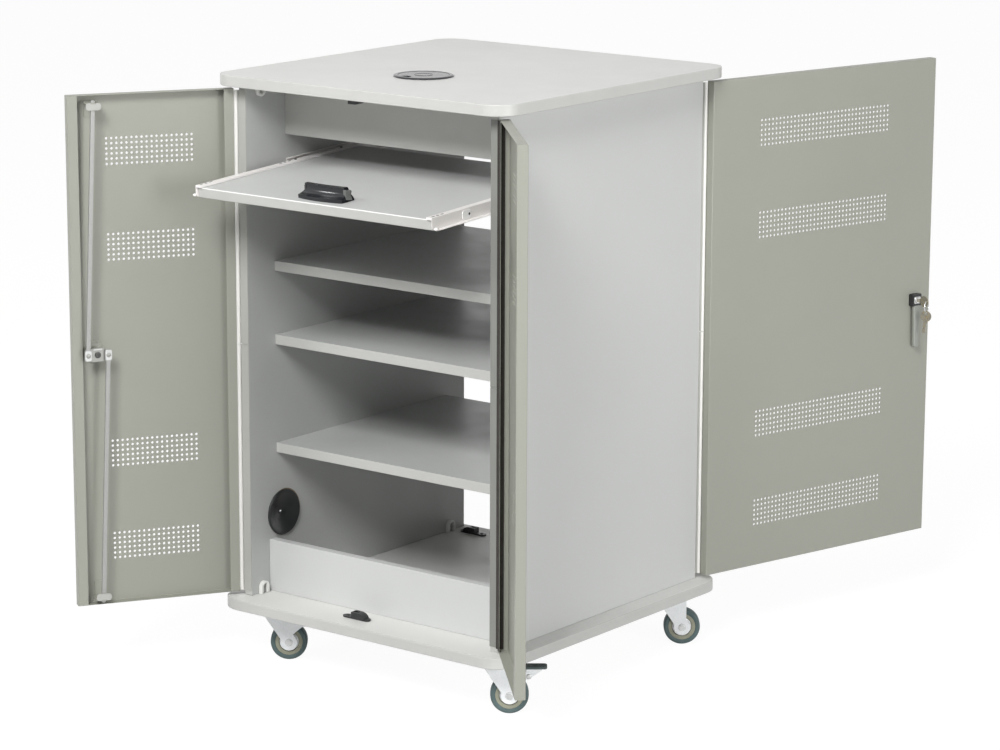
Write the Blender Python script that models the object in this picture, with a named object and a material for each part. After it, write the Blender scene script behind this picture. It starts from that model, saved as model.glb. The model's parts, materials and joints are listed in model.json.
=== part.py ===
"""Multimedia cart: a caster-mounted cabinet with perforated steel doors and a sloping keyboard shelf.

Metres, +Z up, +X to the right seen from the front, which faces -Y.
The origin lies on the floor under the middle of the cabinet.
"""

import math

import bmesh
import bpy
from mathutils import Matrix, Vector

# Running fits
SEAT_GAP = 0.0003
OVERRUN = 0.002

# Cabinet carcass
CABINET_WIDTH = 0.640
CABINET_DEPTH = 0.660
PANEL_HEIGHT = 1.030
PANEL_THICKNESS = 0.018
LEFT_PANEL_EXTRA_DEPTH = 0.025
BOARD_THICKNESS = 0.022
BOARD_OVERHANG = 0.040
BOARD_CORNER_RADIUS = 0.050
BOARD_EDGE_ROUND = 0.0015
CASTER_HEIGHT = 0.113

# Fixed boards between the side panels
SHELF_THICKNESS = 0.020
SHELF_FRONT_SETBACK = 0.078
SHELF_REAR_SETBACK = 0.038
# Tops of the shelves as shares of the side panels' height
LOWER_SHELF_SHARE = 0.2932
MIDDLE_SHELF_SHARE = 0.5078
UPPER_SHELF_SHARE = 0.6524
RAIL_HEIGHT = 0.109
RAIL_SETBACK = 0.114
KICK_HEIGHT = 0.107
KICK_SETBACK = 0.054
BOARD_STRIP_THICKNESS = 0.018

# Doors and their hinge pins
PIN_OUTSET = 0.004
PIN_STANDOFF = 0.0045
DOOR_DEPTH = 0.020
DOOR_SHEET = 0.001
DOOR_LIP = 0.020
DOOR_CLEARANCE = 0.008
LEFT_DOOR_REACH = 0.335
RIGHT_DOOR_REACH = 0.3095
REAR_DOOR_REACH = 0.620
LEFT_DOOR_OPEN = math.radians(122.0)
RIGHT_DOOR_OPEN = math.radians(133.5)
REAR_DOOR_OPEN = math.radians(104.3)

# Perforated fields of the doors
HOLE_SIZE = 0.005
HOLE_PITCH = 0.025
FIELD_HEIGHT = 0.055
FRONT_FIELD_WIDTH = 0.175
REAR_FIELD_WIDTH = 0.355
LEFT_FIELD_CENTRE = 0.1697
RIGHT_FIELD_CENTRE = 0.1566
REAR_FIELD_CENTRE = 0.3084
# Distance of the fields from mid-height as shares of the side panels' height
NEAR_FIELD_SHARE = 0.2
FAR_FIELD_SHARE = 0.3825

# Latch rods of the left front door and of the rear door
LOCK_INSET = 0.047
ROD_STANDOFF = 0.0143
PIVOT_RADIUS = 0.020
GUIDE_INSET = 0.022
KEEPER_HEIGHT = 0.014

# Keyboard shelf on its sloping slides
KEYBOARD_SLOPE = math.radians(3.0)
KEYBOARD_FRONT = 0.155
# Top of its front edge as a share of the side panels' height
KEYBOARD_TOP_SHARE = 0.8262
KEYBOARD_DEPTH = 0.472
KEYBOARD_THICKNESS = 0.020
SLIDE_SPACE = 0.013

# Casters
WHEEL_RADIUS = 0.0375
WHEEL_WIDTH = 0.025
WHEEL_STEPS = 24
CASTER_TRAIL = 0.030
CASTER_HEADING = math.atan2(0.61, 0.79)
CASTER_INSET_X = 0.040
CASTER_INSET_Y = 0.041

# Levels and faces that follow from the sizes above
BASE_BOTTOM = CASTER_HEIGHT
BASE_TOP = BASE_BOTTOM + BOARD_THICKNESS
TABLE_BOTTOM = BASE_TOP + PANEL_HEIGHT
TABLE_TOP = TABLE_BOTTOM + BOARD_THICKNESS
MID_HEIGHT = BASE_TOP + PANEL_HEIGHT / 2
HALF_WIDTH = CABINET_WIDTH / 2
HALF_DEPTH = CABINET_DEPTH / 2
INNER_HALF = HALF_WIDTH - PANEL_THICKNESS
PIN_X = HALF_WIDTH + PIN_OUTSET
PIN_Y = HALF_DEPTH + PIN_STANDOFF

WHITE_BOARD = ("grey_white_laminate", (0.74, 0.74, 0.72), 0.45, 0.0)
GREY_BOARD = ("light_grey_laminate", (0.53, 0.54, 0.53), 0.45, 0.0)
DOOR_PAINT = ("grey_olive_enamel", (0.38, 0.38, 0.32), 0.35, 0.3)
WHITE_PAINT = ("white_epoxy", (0.80, 0.79, 0.76), 0.35, 0.0)
BLACK_PLASTIC = ("black_plastic", (0.02, 0.02, 0.02), 0.4, 0.0)
WHITE_PLASTIC = ("white_plastic", (0.85, 0.85, 0.84), 0.4, 0.0)
ZINC = ("zinc_plate", (0.75, 0.77, 0.78), 0.3, 0.9)
CHROME = ("chrome", (0.75, 0.76, 0.78), 0.12, 1.0)
KEY_METAL = ("nickel_brass", (0.45, 0.40, 0.32), 0.3, 1.0)
TYRE_RUBBER = ("grey_tyre_rubber", (0.13, 0.19, 0.21), 0.6, 0.0)
PEDAL_PLASTIC = ("dark_pedal_plastic", (0.10, 0.13, 0.13), 0.5, 0.0)


def clear_scene():
    for item in list(bpy.data.objects):
        bpy.data.objects.remove(item, do_unlink=True)


def paint(item, finish):
    label, colour, roughness, metallic = finish
    material = bpy.data.materials.new(f"{item.name}_{label}")
    material.use_nodes = True
    shader = material.node_tree.nodes["Principled BSDF"]
    shader.inputs["Base Color"].default_value = (*colour, 1.0)
    shader.inputs["Roughness"].default_value = roughness
    shader.inputs["Metallic"].default_value = metallic
    item.data.materials.append(material)


def from_bmesh(name, work, turn=None):
    """A mesh object from a bmesh, turned about its own origin first."""
    if turn is not None:
        bmesh.ops.transform(work, matrix=turn, verts=work.verts)
    bmesh.ops.recalc_face_normals(work, faces=work.faces)
    mesh = bpy.data.meshes.new(name)
    work.to_mesh(mesh)
    work.free()
    item = bpy.data.objects.new(name, mesh)
    bpy.context.scene.collection.objects.link(item)
    return item


def add_prism(work, outline, low, high):
    """Adds a closed prism on an outline in X and Y between two levels."""
    floor = [work.verts.new((x, y, low)) for x, y in outline]
    roof = [work.verts.new((x, y, high)) for x, y in outline]
    work.faces.new(floor)
    work.faces.new(roof)
    for i, corner in enumerate(floor):
        j = (i + 1) % len(floor)
        work.faces.new((corner, floor[j], roof[j], roof[i]))


def prism(name, outline, low, high, turn=None):
    work = bmesh.new()
    add_prism(work, outline, low, high)
    return from_bmesh(name, work, turn)


def block(name, x_span, y_span, z_span):
    return prism(name, rectangle(x_span, y_span), *z_span)


def rectangle(x_span, y_span):
    (x0, x1), (y0, y1) = sorted(x_span), sorted(y_span)
    return [(x0, y0), (x1, y0), (x1, y1), (x0, y1)]


def arc(centre, radius, start, end, steps):
    """Points along an arc, both ends included, angles in degrees."""
    angles = [math.radians(start + (end - start) * i / steps) for i in range(steps + 1)]
    return [
        (centre[0] + radius * math.cos(a), centre[1] + radius * math.sin(a))
        for a in angles
    ]


def rounded_rectangle(width, depth, radius, steps=6):
    x, y = width / 2 - radius, depth / 2 - radius
    corners = ((x, y, 0), (-x, y, 90), (-x, -y, 180), (x, -y, 270))
    points = []
    for cx, cy, start in corners:
        points += arc((cx, cy), radius, start, start + 90, steps)
    return points


def circle(radius, steps, phase=0.0):
    angles = [2 * math.pi * (i + phase) / steps for i in range(steps)]
    return [(radius * math.cos(a), radius * math.sin(a)) for a in angles]


def cylinder(name, radius, low, high, steps=16, turn=None):
    return prism(name, circle(radius, steps), low, high, turn)


def ring(name, section, steps, turn=None, phase=0.0):
    """Revolves a closed section of radius and height around Z."""
    work = bmesh.new()
    loops = []
    for i in range(steps):
        angle = 2 * math.pi * (i + phase) / steps
        loops.append(
            [work.verts.new((r * math.cos(angle), r * math.sin(angle), h)) for r, h in section]
        )
    count = len(section)
    for i, loop in enumerate(loops):
        following = loops[(i + 1) % steps]
        for j in range(count):
            k = (j + 1) % count
            work.faces.new((loop[j], following[j], following[k], loop[k]))
    return from_bmesh(name, work, turn)


def combine(target, tool, operation):
    """Boolean of the target with a tool that stays with it as a wire guide."""
    modifier = target.modifiers.new(tool.name, "BOOLEAN")
    modifier.operation = operation
    modifier.solver = "EXACT"
    modifier.object = tool
    tool.parent = target
    tool.hide_render = True
    tool.display_type = "WIRE"


def cut(target, *tools):
    for tool in tools:
        combine(target, tool, "DIFFERENCE")


def join(target, *tools):
    for tool in tools:
        combine(target, tool, "UNION")


def shade(item, angle=40):
    item.data.shade_smooth()
    item.data.set_sharp_from_angle(angle=math.radians(angle))


def put(item, finish, matrix=None, smooth=True):
    """Finishes a sub-part: its material, its shading and its place."""
    paint(item, finish)
    if smooth:
        shade(item)
    if matrix is not None:
        item.matrix_world = matrix
    return item


def shift(x, y, z):
    return Matrix.Translation(Vector((x, y, z)))


# The axis of a prism or a ring turned to point out of a door's outer face
FACING_OUT = Matrix.Rotation(math.radians(90), 4, "X")
# The same axis turned to point along +X
ALONG_X = Matrix.Rotation(math.radians(90), 4, "Y")


# Tabletop, base board and the grommet in the tabletop

GROMMET_X = -0.013
GROMMET_SETBACK = 0.1915
GROMMET_Y = GROMMET_SETBACK - HALF_DEPTH
GROMMET_FLANGE = 0.059
GROMMET_BARREL = 0.052
GROMMET_BORE = 0.046
GROMMET_RING_HEIGHT = 0.0035
GROMMET_STEPS = 24
CAP_RADIUS = 0.0495
CAP_NOTCH_RADIUS = 0.011
CAP_NOTCH_ANGLE = math.radians(-104)
CAP_THICKNESS = 0.0032


def board(name, low):
    width = CABINET_WIDTH + 2 * BOARD_OVERHANG
    depth = CABINET_DEPTH + 2 * BOARD_OVERHANG
    outline = rounded_rectangle(width, depth, BOARD_CORNER_RADIUS, 8)
    item = prism(name, outline, low, low + BOARD_THICKNESS)
    bevel = item.modifiers.new("edge", "BEVEL")
    bevel.width = BOARD_EDGE_ROUND
    bevel.segments = 1
    bevel.limit_method = "ANGLE"
    bevel.angle_limit = math.radians(60)
    return item


def make_boards():
    put(board("base_board", BASE_BOTTOM), WHITE_BOARD)
    top = board("tabletop", TABLE_BOTTOM)
    hole = cylinder(
        "tabletop_hole",
        GROMMET_BARREL + SEAT_GAP,
        TABLE_BOTTOM - OVERRUN,
        TABLE_TOP + OVERRUN,
        GROMMET_STEPS,
        shift(GROMMET_X, GROMMET_Y, 0),
    )
    cut(top, hole)
    put(top, WHITE_BOARD)


def make_grommet():
    """Ring with a recess that carries the turning cap, and a barrel down through the board."""
    under = SEAT_GAP
    top = GROMMET_RING_HEIGHT
    seat = top - CAP_THICKNESS - SEAT_GAP
    bottom = OVERRUN - BOARD_THICKNESS
    recess = CAP_RADIUS + SEAT_GAP
    chamfer = GROMMET_RING_HEIGHT / 2
    barrel = GROMMET_BARREL - SEAT_GAP
    section = [
        (GROMMET_BORE, bottom),
        (barrel, bottom),
        (barrel, under),
        (GROMMET_FLANGE, under),
        (GROMMET_FLANGE, top - chamfer),
        (GROMMET_FLANGE - chamfer, top),
        (recess, top),
        (recess, seat),
        (GROMMET_BORE, seat),
    ]
    place = shift(GROMMET_X, GROMMET_Y, TABLE_TOP)
    put(ring("tabletop_grommet", section, GROMMET_STEPS), BLACK_PLASTIC, place)
    cap = cylinder("grommet_cap", CAP_RADIUS, top - CAP_THICKNESS, top, GROMMET_STEPS)
    notch_x = (CAP_RADIUS - CAP_NOTCH_RADIUS / 2) * math.cos(CAP_NOTCH_ANGLE)
    notch_y = (CAP_RADIUS - CAP_NOTCH_RADIUS / 2) * math.sin(CAP_NOTCH_ANGLE)
    notch = cylinder(
        "grommet_cap_notch",
        CAP_NOTCH_RADIUS,
        -OVERRUN,
        top + OVERRUN,
        turn=shift(notch_x, notch_y, 0),
    )
    cut(cap, notch)
    put(cap, BLACK_PLASTIC, place)


# Side panels with the vent grommet of the left one

VENT_SETBACK = 0.0973
VENT_Y = VENT_SETBACK - HALF_DEPTH
VENT_Z = 0.155
VENT_RADIUS = 0.047
VENT_HOLE = 0.040
VENT_WALL = 0.0025
VENT_FLANGE = 0.004
VENT_STEPS = 24


def make_side_panels():
    low, high = BASE_TOP + SEAT_GAP, TABLE_BOTTOM - SEAT_GAP
    left = block(
        "left_side_panel",
        (-HALF_WIDTH, -INNER_HALF),
        (-HALF_DEPTH, HALF_DEPTH + LEFT_PANEL_EXTRA_DEPTH),
        (low, high),
    )
    hole = cylinder(
        "left_side_panel_hole",
        VENT_HOLE + SEAT_GAP,
        -HALF_WIDTH - OVERRUN,
        -INNER_HALF + OVERRUN,
        VENT_STEPS,
        shift(0, VENT_Y, BASE_TOP + VENT_Z) @ ALONG_X,
    )
    cut(left, hole)
    put(left, GREY_BOARD, smooth=False)
    right = block(
        "right_side_panel", (INNER_HALF, HALF_WIDTH), (-HALF_DEPTH, HALF_DEPTH), (low, high)
    )
    put(right, GREY_BOARD, smooth=False)


def make_vent_grommet():
    """A dished disc on the inner face of the panel, with a collar in the panel's hole."""
    face = SEAT_GAP
    rim = face + VENT_FLANGE
    back = -PANEL_THICKNESS + OVERRUN
    inner = VENT_HOLE - VENT_WALL
    dish = VENT_FLANGE / 2
    work = bmesh.new()
    section = [
        (0, face + dish),
        (inner, rim - dish / 2),
        (VENT_RADIUS - dish, rim),
        (VENT_RADIUS, rim - dish),
        (VENT_RADIUS, face),
        (VENT_HOLE, face),
        (VENT_HOLE, back),
        (inner, back),
        (inner, face - dish / 2),
        (0, face - dish),
    ]
    lathe(work, section, VENT_STEPS)
    place = shift(-INNER_HALF, VENT_Y, BASE_TOP + VENT_Z) @ ALONG_X
    put(from_bmesh("side_grommet", work), BLACK_PLASTIC, place)


def lathe(work, section, steps, phase=0.0):
    """Revolves an open section that starts and ends on the axis."""
    first = work.verts.new((0, 0, section[0][1]))
    last = work.verts.new((0, 0, section[-1][1]))
    rows = []
    for r, h in section[1:-1]:
        rows.append([work.verts.new((x, y, h)) for x, y in circle(r, steps, phase=phase)])
    for i in range(steps):
        j = (i + 1) % steps
        work.faces.new((first, rows[0][i], rows[0][j]))
        for a, b in zip(rows, rows[1:]):
            work.faces.new((a[i], b[i], b[j], a[j]))
        work.faces.new((last, rows[-1][j], rows[-1][i]))


# Shelves, upper rail and kick panel

def make_inner_boards():
    span = (-INNER_HALF + SEAT_GAP, INNER_HALF - SEAT_GAP)
    for name, top in (
        ("shelf_1", BASE_TOP + UPPER_SHELF_SHARE * PANEL_HEIGHT),
        ("shelf_2", BASE_TOP + MIDDLE_SHELF_SHARE * PANEL_HEIGHT),
        ("shelf_3", BASE_TOP + LOWER_SHELF_SHARE * PANEL_HEIGHT),
    ):
        shelf = block(
            name,
            span,
            (SHELF_FRONT_SETBACK - HALF_DEPTH, HALF_DEPTH - SHELF_REAR_SETBACK),
            (top - SHELF_THICKNESS, top),
        )
        put(shelf, GREY_BOARD, smooth=False)
    rail_front = RAIL_SETBACK - HALF_DEPTH
    rail = block(
        "upper_rail",
        span,
        (rail_front, rail_front + BOARD_STRIP_THICKNESS),
        (TABLE_BOTTOM - RAIL_HEIGHT, TABLE_BOTTOM - SEAT_GAP),
    )
    put(rail, GREY_BOARD, smooth=False)
    kick_front = KICK_SETBACK - HALF_DEPTH
    kick = block(
        "kick_panel",
        span,
        (kick_front, kick_front + BOARD_STRIP_THICKNESS),
        (BASE_TOP + SEAT_GAP, BASE_TOP + KICK_HEIGHT),
    )
    put(kick, GREY_BOARD, smooth=False)


# Pin hinges: a long barrel with a leaf across the end face of the side panel

BARREL_RADIUS = 0.0035
LEAF_THICKNESS = 0.0012
HINGE_END = 0.011
BARREL_STEPS = 12


def make_hinges():
    low, high = BASE_TOP + HINGE_END, TABLE_BOTTOM - HINGE_END
    leaf_near = PIN_STANDOFF - SEAT_GAP
    for name, side, end in (
        ("front_left_hinge", -1, -1),
        ("front_right_hinge", 1, -1),
        ("rear_right_hinge", 1, 1),
    ):
        barrel = cylinder(name, BARREL_RADIUS, low, high, BARREL_STEPS)
        leaf = block(
            f"{name}_leaf",
            (0, -side * (PIN_OUTSET + PANEL_THICKNESS)),
            (-end * leaf_near, -end * (leaf_near - LEAF_THICKNESS)),
            (low, high),
        )
        join(barrel, leaf)
        put(barrel, WHITE_PAINT, shift(side * PIN_X, end * PIN_Y, 0))


# Doors: a folded pan with perforated fields, in a frame on the hinge axis.
# X runs along the leaf to its free edge, -Y out of its outer face.

def door_frame(side, end, opening):
    """The door's place: pin position, closed heading and how far it stands open."""
    heading = math.pi if end > 0 else 0.0
    return shift(side * PIN_X, end * PIN_Y, 0) @ Matrix.Rotation(heading - opening, 4, "Z")


LEFT_DOOR = door_frame(-1, -1, LEFT_DOOR_OPEN)
RIGHT_DOOR = door_frame(1, -1, -RIGHT_DOOR_OPEN)
REAR_DOOR = door_frame(1, 1, REAR_DOOR_OPEN)
DOOR_START = BARREL_RADIUS + SEAT_GAP
DOOR_LOW = BASE_TOP + DOOR_CLEARANCE
DOOR_HIGH = TABLE_BOTTOM - DOOR_CLEARANCE


def perforation(name, centre, width, sign):
    """Cutter with one square prism per hole of the door's four fields."""
    columns = int(round(width / HOLE_PITCH))
    rows = int(round(FIELD_HEIGHT / HOLE_PITCH))
    half = HOLE_SIZE / 2
    work = bmesh.new()
    for share in (-FAR_FIELD_SHARE, -NEAR_FIELD_SHARE, NEAR_FIELD_SHARE, FAR_FIELD_SHARE):
        level = MID_HEIGHT + share * PANEL_HEIGHT
        for i in range(columns):
            x = centre + (i - (columns - 1) / 2) * HOLE_PITCH
            for j in range(rows):
                z = level + (j - (rows - 1) / 2) * HOLE_PITCH
                outline = rectangle((sign * x - half, sign * x + half), (z - half, z + half))
                add_prism(work, outline, DOOR_DEPTH - OVERRUN, DOOR_DEPTH + OVERRUN)
    return from_bmesh(name, work, FACING_OUT)


def door_pan(name, reach, field_centre, field_width, sign=1):
    """Sheet, folded edges and return lips; sign is -1 for the leaf that is hung on the right."""
    pan = block(
        name,
        (sign * DOOR_START, sign * reach),
        (-DOOR_DEPTH, 0),
        (DOOR_LOW, DOOR_HIGH),
    )
    near, far = DOOR_START + DOOR_SHEET, reach - DOOR_SHEET
    lip_near, lip_far = DOOR_START + DOOR_LIP, reach - DOOR_LIP
    face = DOOR_SHEET - DOOR_DEPTH
    hollow_outline = [
        (sign * near, -DOOR_SHEET),
        (sign * near, face),
        (sign * far, face),
        (sign * far, -DOOR_SHEET),
        (sign * lip_far, -DOOR_SHEET),
        (sign * lip_far, OVERRUN),
        (sign * lip_near, OVERRUN),
        (sign * lip_near, -DOOR_SHEET),
    ]
    hollow = prism(
        f"{name}_hollow", hollow_outline, DOOR_LOW + DOOR_SHEET, DOOR_HIGH - DOOR_SHEET
    )
    cut(pan, hollow, perforation(f"{name}_holes", field_centre, field_width, sign))
    return pan


# Lock barrel and washer on the inside of a door, its lever, cam and key

LOCK_WASHER = 0.0225
LOCK_BARREL = 0.0125
SPINDLE = 0.006
CAM_FACE = -0.008
CAM_THICKNESS = 0.003
CAM_LENGTH = 0.050
CAM_HEIGHT = 0.027
CAM_TAB = 0.020
CAM_BOLT = 0.0055
PIVOT_PIN = 0.0025
EYE_GAP = 0.0004
ROD_WIDTH = 0.008
ROD_THICKNESS = 0.006
EYE_WIDTH = 0.013
EYE_HALF_LENGTH = 0.010
HEAD_WIDTH = 0.028
HEAD_HEIGHT = 0.034
HEAD_DEPTH = 0.014
LEVER_LENGTH = 0.102
LEVER_WIDTH = 0.018
LEVER_TIP_WIDTH = 0.013
LEVER_THICKNESS = 0.008
PLUG_RADIUS = 0.0065
PLUG_DEPTH = 0.008
KEY_THICKNESS = 0.002
KEY_BOW = 0.0125
KEY_NECK = 0.006
KEY_REACH = 0.005
LOCK_STEPS = 16


def lock_place(door, reach):
    """Frame on the lock's axis, with the door's own directions."""
    return door @ shift(reach - LOCK_INSET, 0, MID_HEIGHT)


def add_lock_barrel(pan, reach):
    middle = shift(reach - LOCK_INSET, 0, MID_HEIGHT) @ FACING_OUT
    washer_face = DOOR_DEPTH - DOOR_SHEET - OVERRUN
    inside = DOOR_DEPTH - DOOR_SHEET / 2
    low = CAM_FACE + SEAT_GAP
    work = bmesh.new()
    section = [
        (0, low),
        (LOCK_BARREL, low),
        (LOCK_BARREL, washer_face),
        (LOCK_WASHER, washer_face),
        (LOCK_WASHER, inside),
        (0, inside),
    ]
    lathe(work, section, LOCK_STEPS)
    barrel = from_bmesh(f"{pan.name}_lock_barrel", work, middle)
    bore = cylinder(
        f"{pan.name}_lock_bore",
        SPINDLE + SEAT_GAP,
        low - OVERRUN,
        DOOR_DEPTH + OVERRUN,
        LOCK_STEPS,
        middle,
    )
    join(pan, barrel)
    cut(pan, bore)


def lever_outline():
    """Tapering handle with a round end, hanging from the middle of its head."""
    half, tip = LEVER_WIDTH / 2, LEVER_TIP_WIDTH / 2
    end = tip - LEVER_LENGTH
    return [(half, 0), (-half, 0)] + arc((0, end), tip, 180, 360, 6)


def make_lever(name, place, keyed):
    """Outer head and handle on one spindle with the inner cam and its two pins."""
    outer = DOOR_DEPTH + SEAT_GAP
    crown = outer + HEAD_DEPTH
    head_outline = rounded_rectangle(HEAD_WIDTH, HEAD_HEIGHT, HEAD_WIDTH / 8, 2)
    lever = prism(name, head_outline, outer, crown, FACING_OUT)
    handle = prism(
        f"{name}_handle",
        lever_outline(),
        crown - LEVER_THICKNESS - SEAT_GAP,
        crown - SEAT_GAP,
        FACING_OUT,
    )
    spindle = cylinder(
        f"{name}_spindle",
        SPINDLE,
        CAM_FACE - CAM_THICKNESS / 2,
        outer + OVERRUN,
        LOCK_STEPS,
        FACING_OUT,
    )
    back = CAM_FACE - CAM_THICKNESS
    cam_outline = rounded_rectangle(CAM_LENGTH, CAM_HEIGHT, CAM_THICKNESS, 2)
    cam = prism(f"{name}_cam", cam_outline, back, CAM_FACE, FACING_OUT)
    tab = block(
        f"{name}_tab",
        (-CAM_TAB / 2, CAM_TAB / 2),
        (-back - CAM_THICKNESS / 2, -back + CAM_THICKNESS),
        (CAM_HEIGHT / 2 - CAM_THICKNESS, CAM_HEIGHT / 2 - SEAT_GAP),
    )
    bolt = cylinder(
        f"{name}_bolt",
        CAM_BOLT,
        back - CAM_THICKNESS,
        back + CAM_THICKNESS / 2,
        LOCK_STEPS,
        FACING_OUT,
    )
    join(lever, handle, spindle, cam, tab, bolt)
    for label, side in (("upper", 1), ("lower", -1)):
        pin = cylinder(
            f"{name}_{label}_pin",
            PIVOT_PIN,
            back - ROD_THICKNESS - 4 * SEAT_GAP,
            back + CAM_THICKNESS / 2,
            BARREL_STEPS,
            shift(side * PIVOT_RADIUS, 0, 0) @ FACING_OUT,
        )
        join(lever, pin)
    if keyed:
        socket = cylinder(
            f"{name}_socket",
            PLUG_RADIUS + SEAT_GAP,
            crown - PLUG_DEPTH - SEAT_GAP,
            crown + OVERRUN,
            LOCK_STEPS,
            FACING_OUT,
        )
        cut(lever, socket)
    put(lever, CHROME, place)


def make_key(place):
    """Turning plug with the key in it: neck and round bow with its hole."""
    crown = DOOR_DEPTH + SEAT_GAP + HEAD_DEPTH
    plug = cylinder("rear_door_key", PLUG_RADIUS, crown - PLUG_DEPTH, crown, LOCK_STEPS, FACING_OUT)
    start = crown + KEY_REACH
    bow_centre = start + KEY_BOW
    half = KEY_THICKNESS / 2
    neck = block(
        "rear_door_key_neck",
        (-half, half),
        (-bow_centre, -crown + PLUG_DEPTH / 2),
        (-KEY_NECK / 2, KEY_NECK / 2),
    )
    bow_turn = shift(0, -bow_centre, 0) @ ALONG_X
    bow = cylinder("rear_door_key_bow", KEY_BOW, -half, half, LOCK_STEPS, bow_turn)
    eye_turn = shift(0, -bow_centre - KEY_BOW / 2, 0) @ ALONG_X
    eye = cylinder("rear_door_key_eye", KEY_BOW / 4, -OVERRUN, OVERRUN, BARREL_STEPS, eye_turn)
    join(plug, neck, bow)
    cut(plug, eye)
    put(plug, KEY_METAL, place)


# Latch rods, pinned to the cam and running through a guide near each end of the door

GUIDE_THICKNESS = 0.002
GUIDE_WIDTH = 0.030
GUIDE_ROOT_WIDTH = 0.020
GUIDE_BASE_HEIGHT = 0.030
GUIDE_TONGUE = 0.007
ROD_SIDE_PLAY = 0.0025
ROD_FACE_PLAY = 0.001
ROD_TIP_GAP = 0.0023
GUIDE_TO_PIVOT = PANEL_HEIGHT / 2 - GUIDE_INSET
ROD_TILT = math.atan2(PIVOT_RADIUS, GUIDE_TO_PIVOT)
ROD_REACH = (PANEL_HEIGHT / 2 - KEEPER_HEIGHT - ROD_TIP_GAP) / math.cos(ROD_TILT)


def make_rod(name, lock, side):
    """A flat bar with a pin eye; side is 1 for the upper rod and -1 for the lower one."""
    half, eye = ROD_WIDTH / 2, EYE_WIDTH / 2
    shoulder = EYE_HALF_LENGTH + EYE_WIDTH / 4
    taper = ROD_WIDTH / 4
    outline = [
        (-eye, -EYE_HALF_LENGTH),
        (eye, -EYE_HALF_LENGTH),
        (eye, EYE_HALF_LENGTH),
        (half, shoulder),
        (half, ROD_REACH - taper),
        (half - taper, ROD_REACH),
        (taper - half, ROD_REACH),
        (-half, ROD_REACH - taper),
        (-half, shoulder),
        (-eye, EYE_HALF_LENGTH),
    ]
    near = -ROD_STANDOFF - ROD_THICKNESS / 2
    rod = prism(name, outline, near, near + ROD_THICKNESS, FACING_OUT)
    hole = cylinder(
        f"{name}_eye",
        PIVOT_PIN + EYE_GAP,
        near - OVERRUN,
        near + ROD_THICKNESS + OVERRUN,
        BARREL_STEPS,
        FACING_OUT,
    )
    cut(rod, hole)
    lean = -ROD_TILT if side > 0 else math.pi - ROD_TILT
    place = lock @ shift(side * PIVOT_RADIUS, 0, 0) @ Matrix.Rotation(lean, 4, "Y")
    put(rod, ZINC, place)


def make_guide(name, lock, side):
    """Angle bracket on the sheet whose tongue carries the rod in a slot."""
    root = DOOR_DEPTH - DOOR_SHEET - SEAT_GAP
    rod_plane = -ROD_STANDOFF
    half, narrow = GUIDE_WIDTH / 2, GUIDE_ROOT_WIDTH / 2
    tip = rod_plane - GUIDE_TONGUE
    outline = [
        (narrow, -root),
        (half, root - DOOR_DEPTH),
        (half, -rod_plane),
        (narrow / 2, -tip),
        (-narrow / 2, -tip),
        (-half, -rod_plane),
        (-half, root - DOOR_DEPTH),
        (-narrow, -root),
    ]
    level = side * GUIDE_TO_PIVOT
    low, high = level - GUIDE_THICKNESS / 2, level + GUIDE_THICKNESS / 2
    tongue = prism(name, outline, low, high)
    far = level - side * GUIDE_BASE_HEIGHT
    base = block(
        f"{name}_base",
        (-narrow, narrow),
        (-root, GUIDE_THICKNESS - root),
        (min(level, far), max(level, far)),
    )
    slot_x = ROD_WIDTH / 2 + ROD_SIDE_PLAY
    slot_y = ROD_THICKNESS / 2 + ROD_FACE_PLAY
    slot = block(
        f"{name}_slot",
        (-slot_x, slot_x),
        (-rod_plane - slot_y, -rod_plane + slot_y),
        (low - OVERRUN, high + OVERRUN),
    )
    join(tongue, base)
    cut(tongue, slot)
    put(tongue, DOOR_PAINT, lock, smooth=False)


def make_doors():
    left = door_pan("left_front_door", LEFT_DOOR_REACH, LEFT_FIELD_CENTRE, FRONT_FIELD_WIDTH)
    add_lock_barrel(left, LEFT_DOOR_REACH)
    put(left, DOOR_PAINT, LEFT_DOOR, smooth=False)
    right = door_pan(
        "right_front_door", RIGHT_DOOR_REACH, RIGHT_FIELD_CENTRE, FRONT_FIELD_WIDTH, -1
    )
    put(right, DOOR_PAINT, RIGHT_DOOR, smooth=False)
    rear = door_pan("rear_door", REAR_DOOR_REACH, REAR_FIELD_CENTRE, REAR_FIELD_WIDTH)
    add_lock_barrel(rear, REAR_DOOR_REACH)
    put(rear, DOOR_PAINT, REAR_DOOR, smooth=False)


def make_locks():
    for label, door, reach, keyed in (
        ("left_door", LEFT_DOOR, LEFT_DOOR_REACH, False),
        ("rear_door", REAR_DOOR, REAR_DOOR_REACH, True),
    ):
        lock = lock_place(door, reach)
        make_lever(f"{label}_lever", lock, keyed)
        for level, side in (("upper", 1), ("lower", -1)):
            make_rod(f"{label}_{level}_rod", lock, side)
            make_guide(f"{label}_{level}_guide", lock, side)
        if keyed:
            make_key(lock)


# Keepers: an oval plate with a domed block whose slot takes a rod's end

KEEPER_PLATE_LENGTH = 0.066
KEEPER_PLATE_WIDTH = 0.017
KEEPER_PLATE_THICKNESS = 0.003
KEEPER_BLOCK_WIDTH = 0.0165
KEEPER_BLOCK_BACK = 0.0085
KEEPER_BLOCK_FLAT = 0.007
KEEPER_BLOCK_END = 0.024


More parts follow.
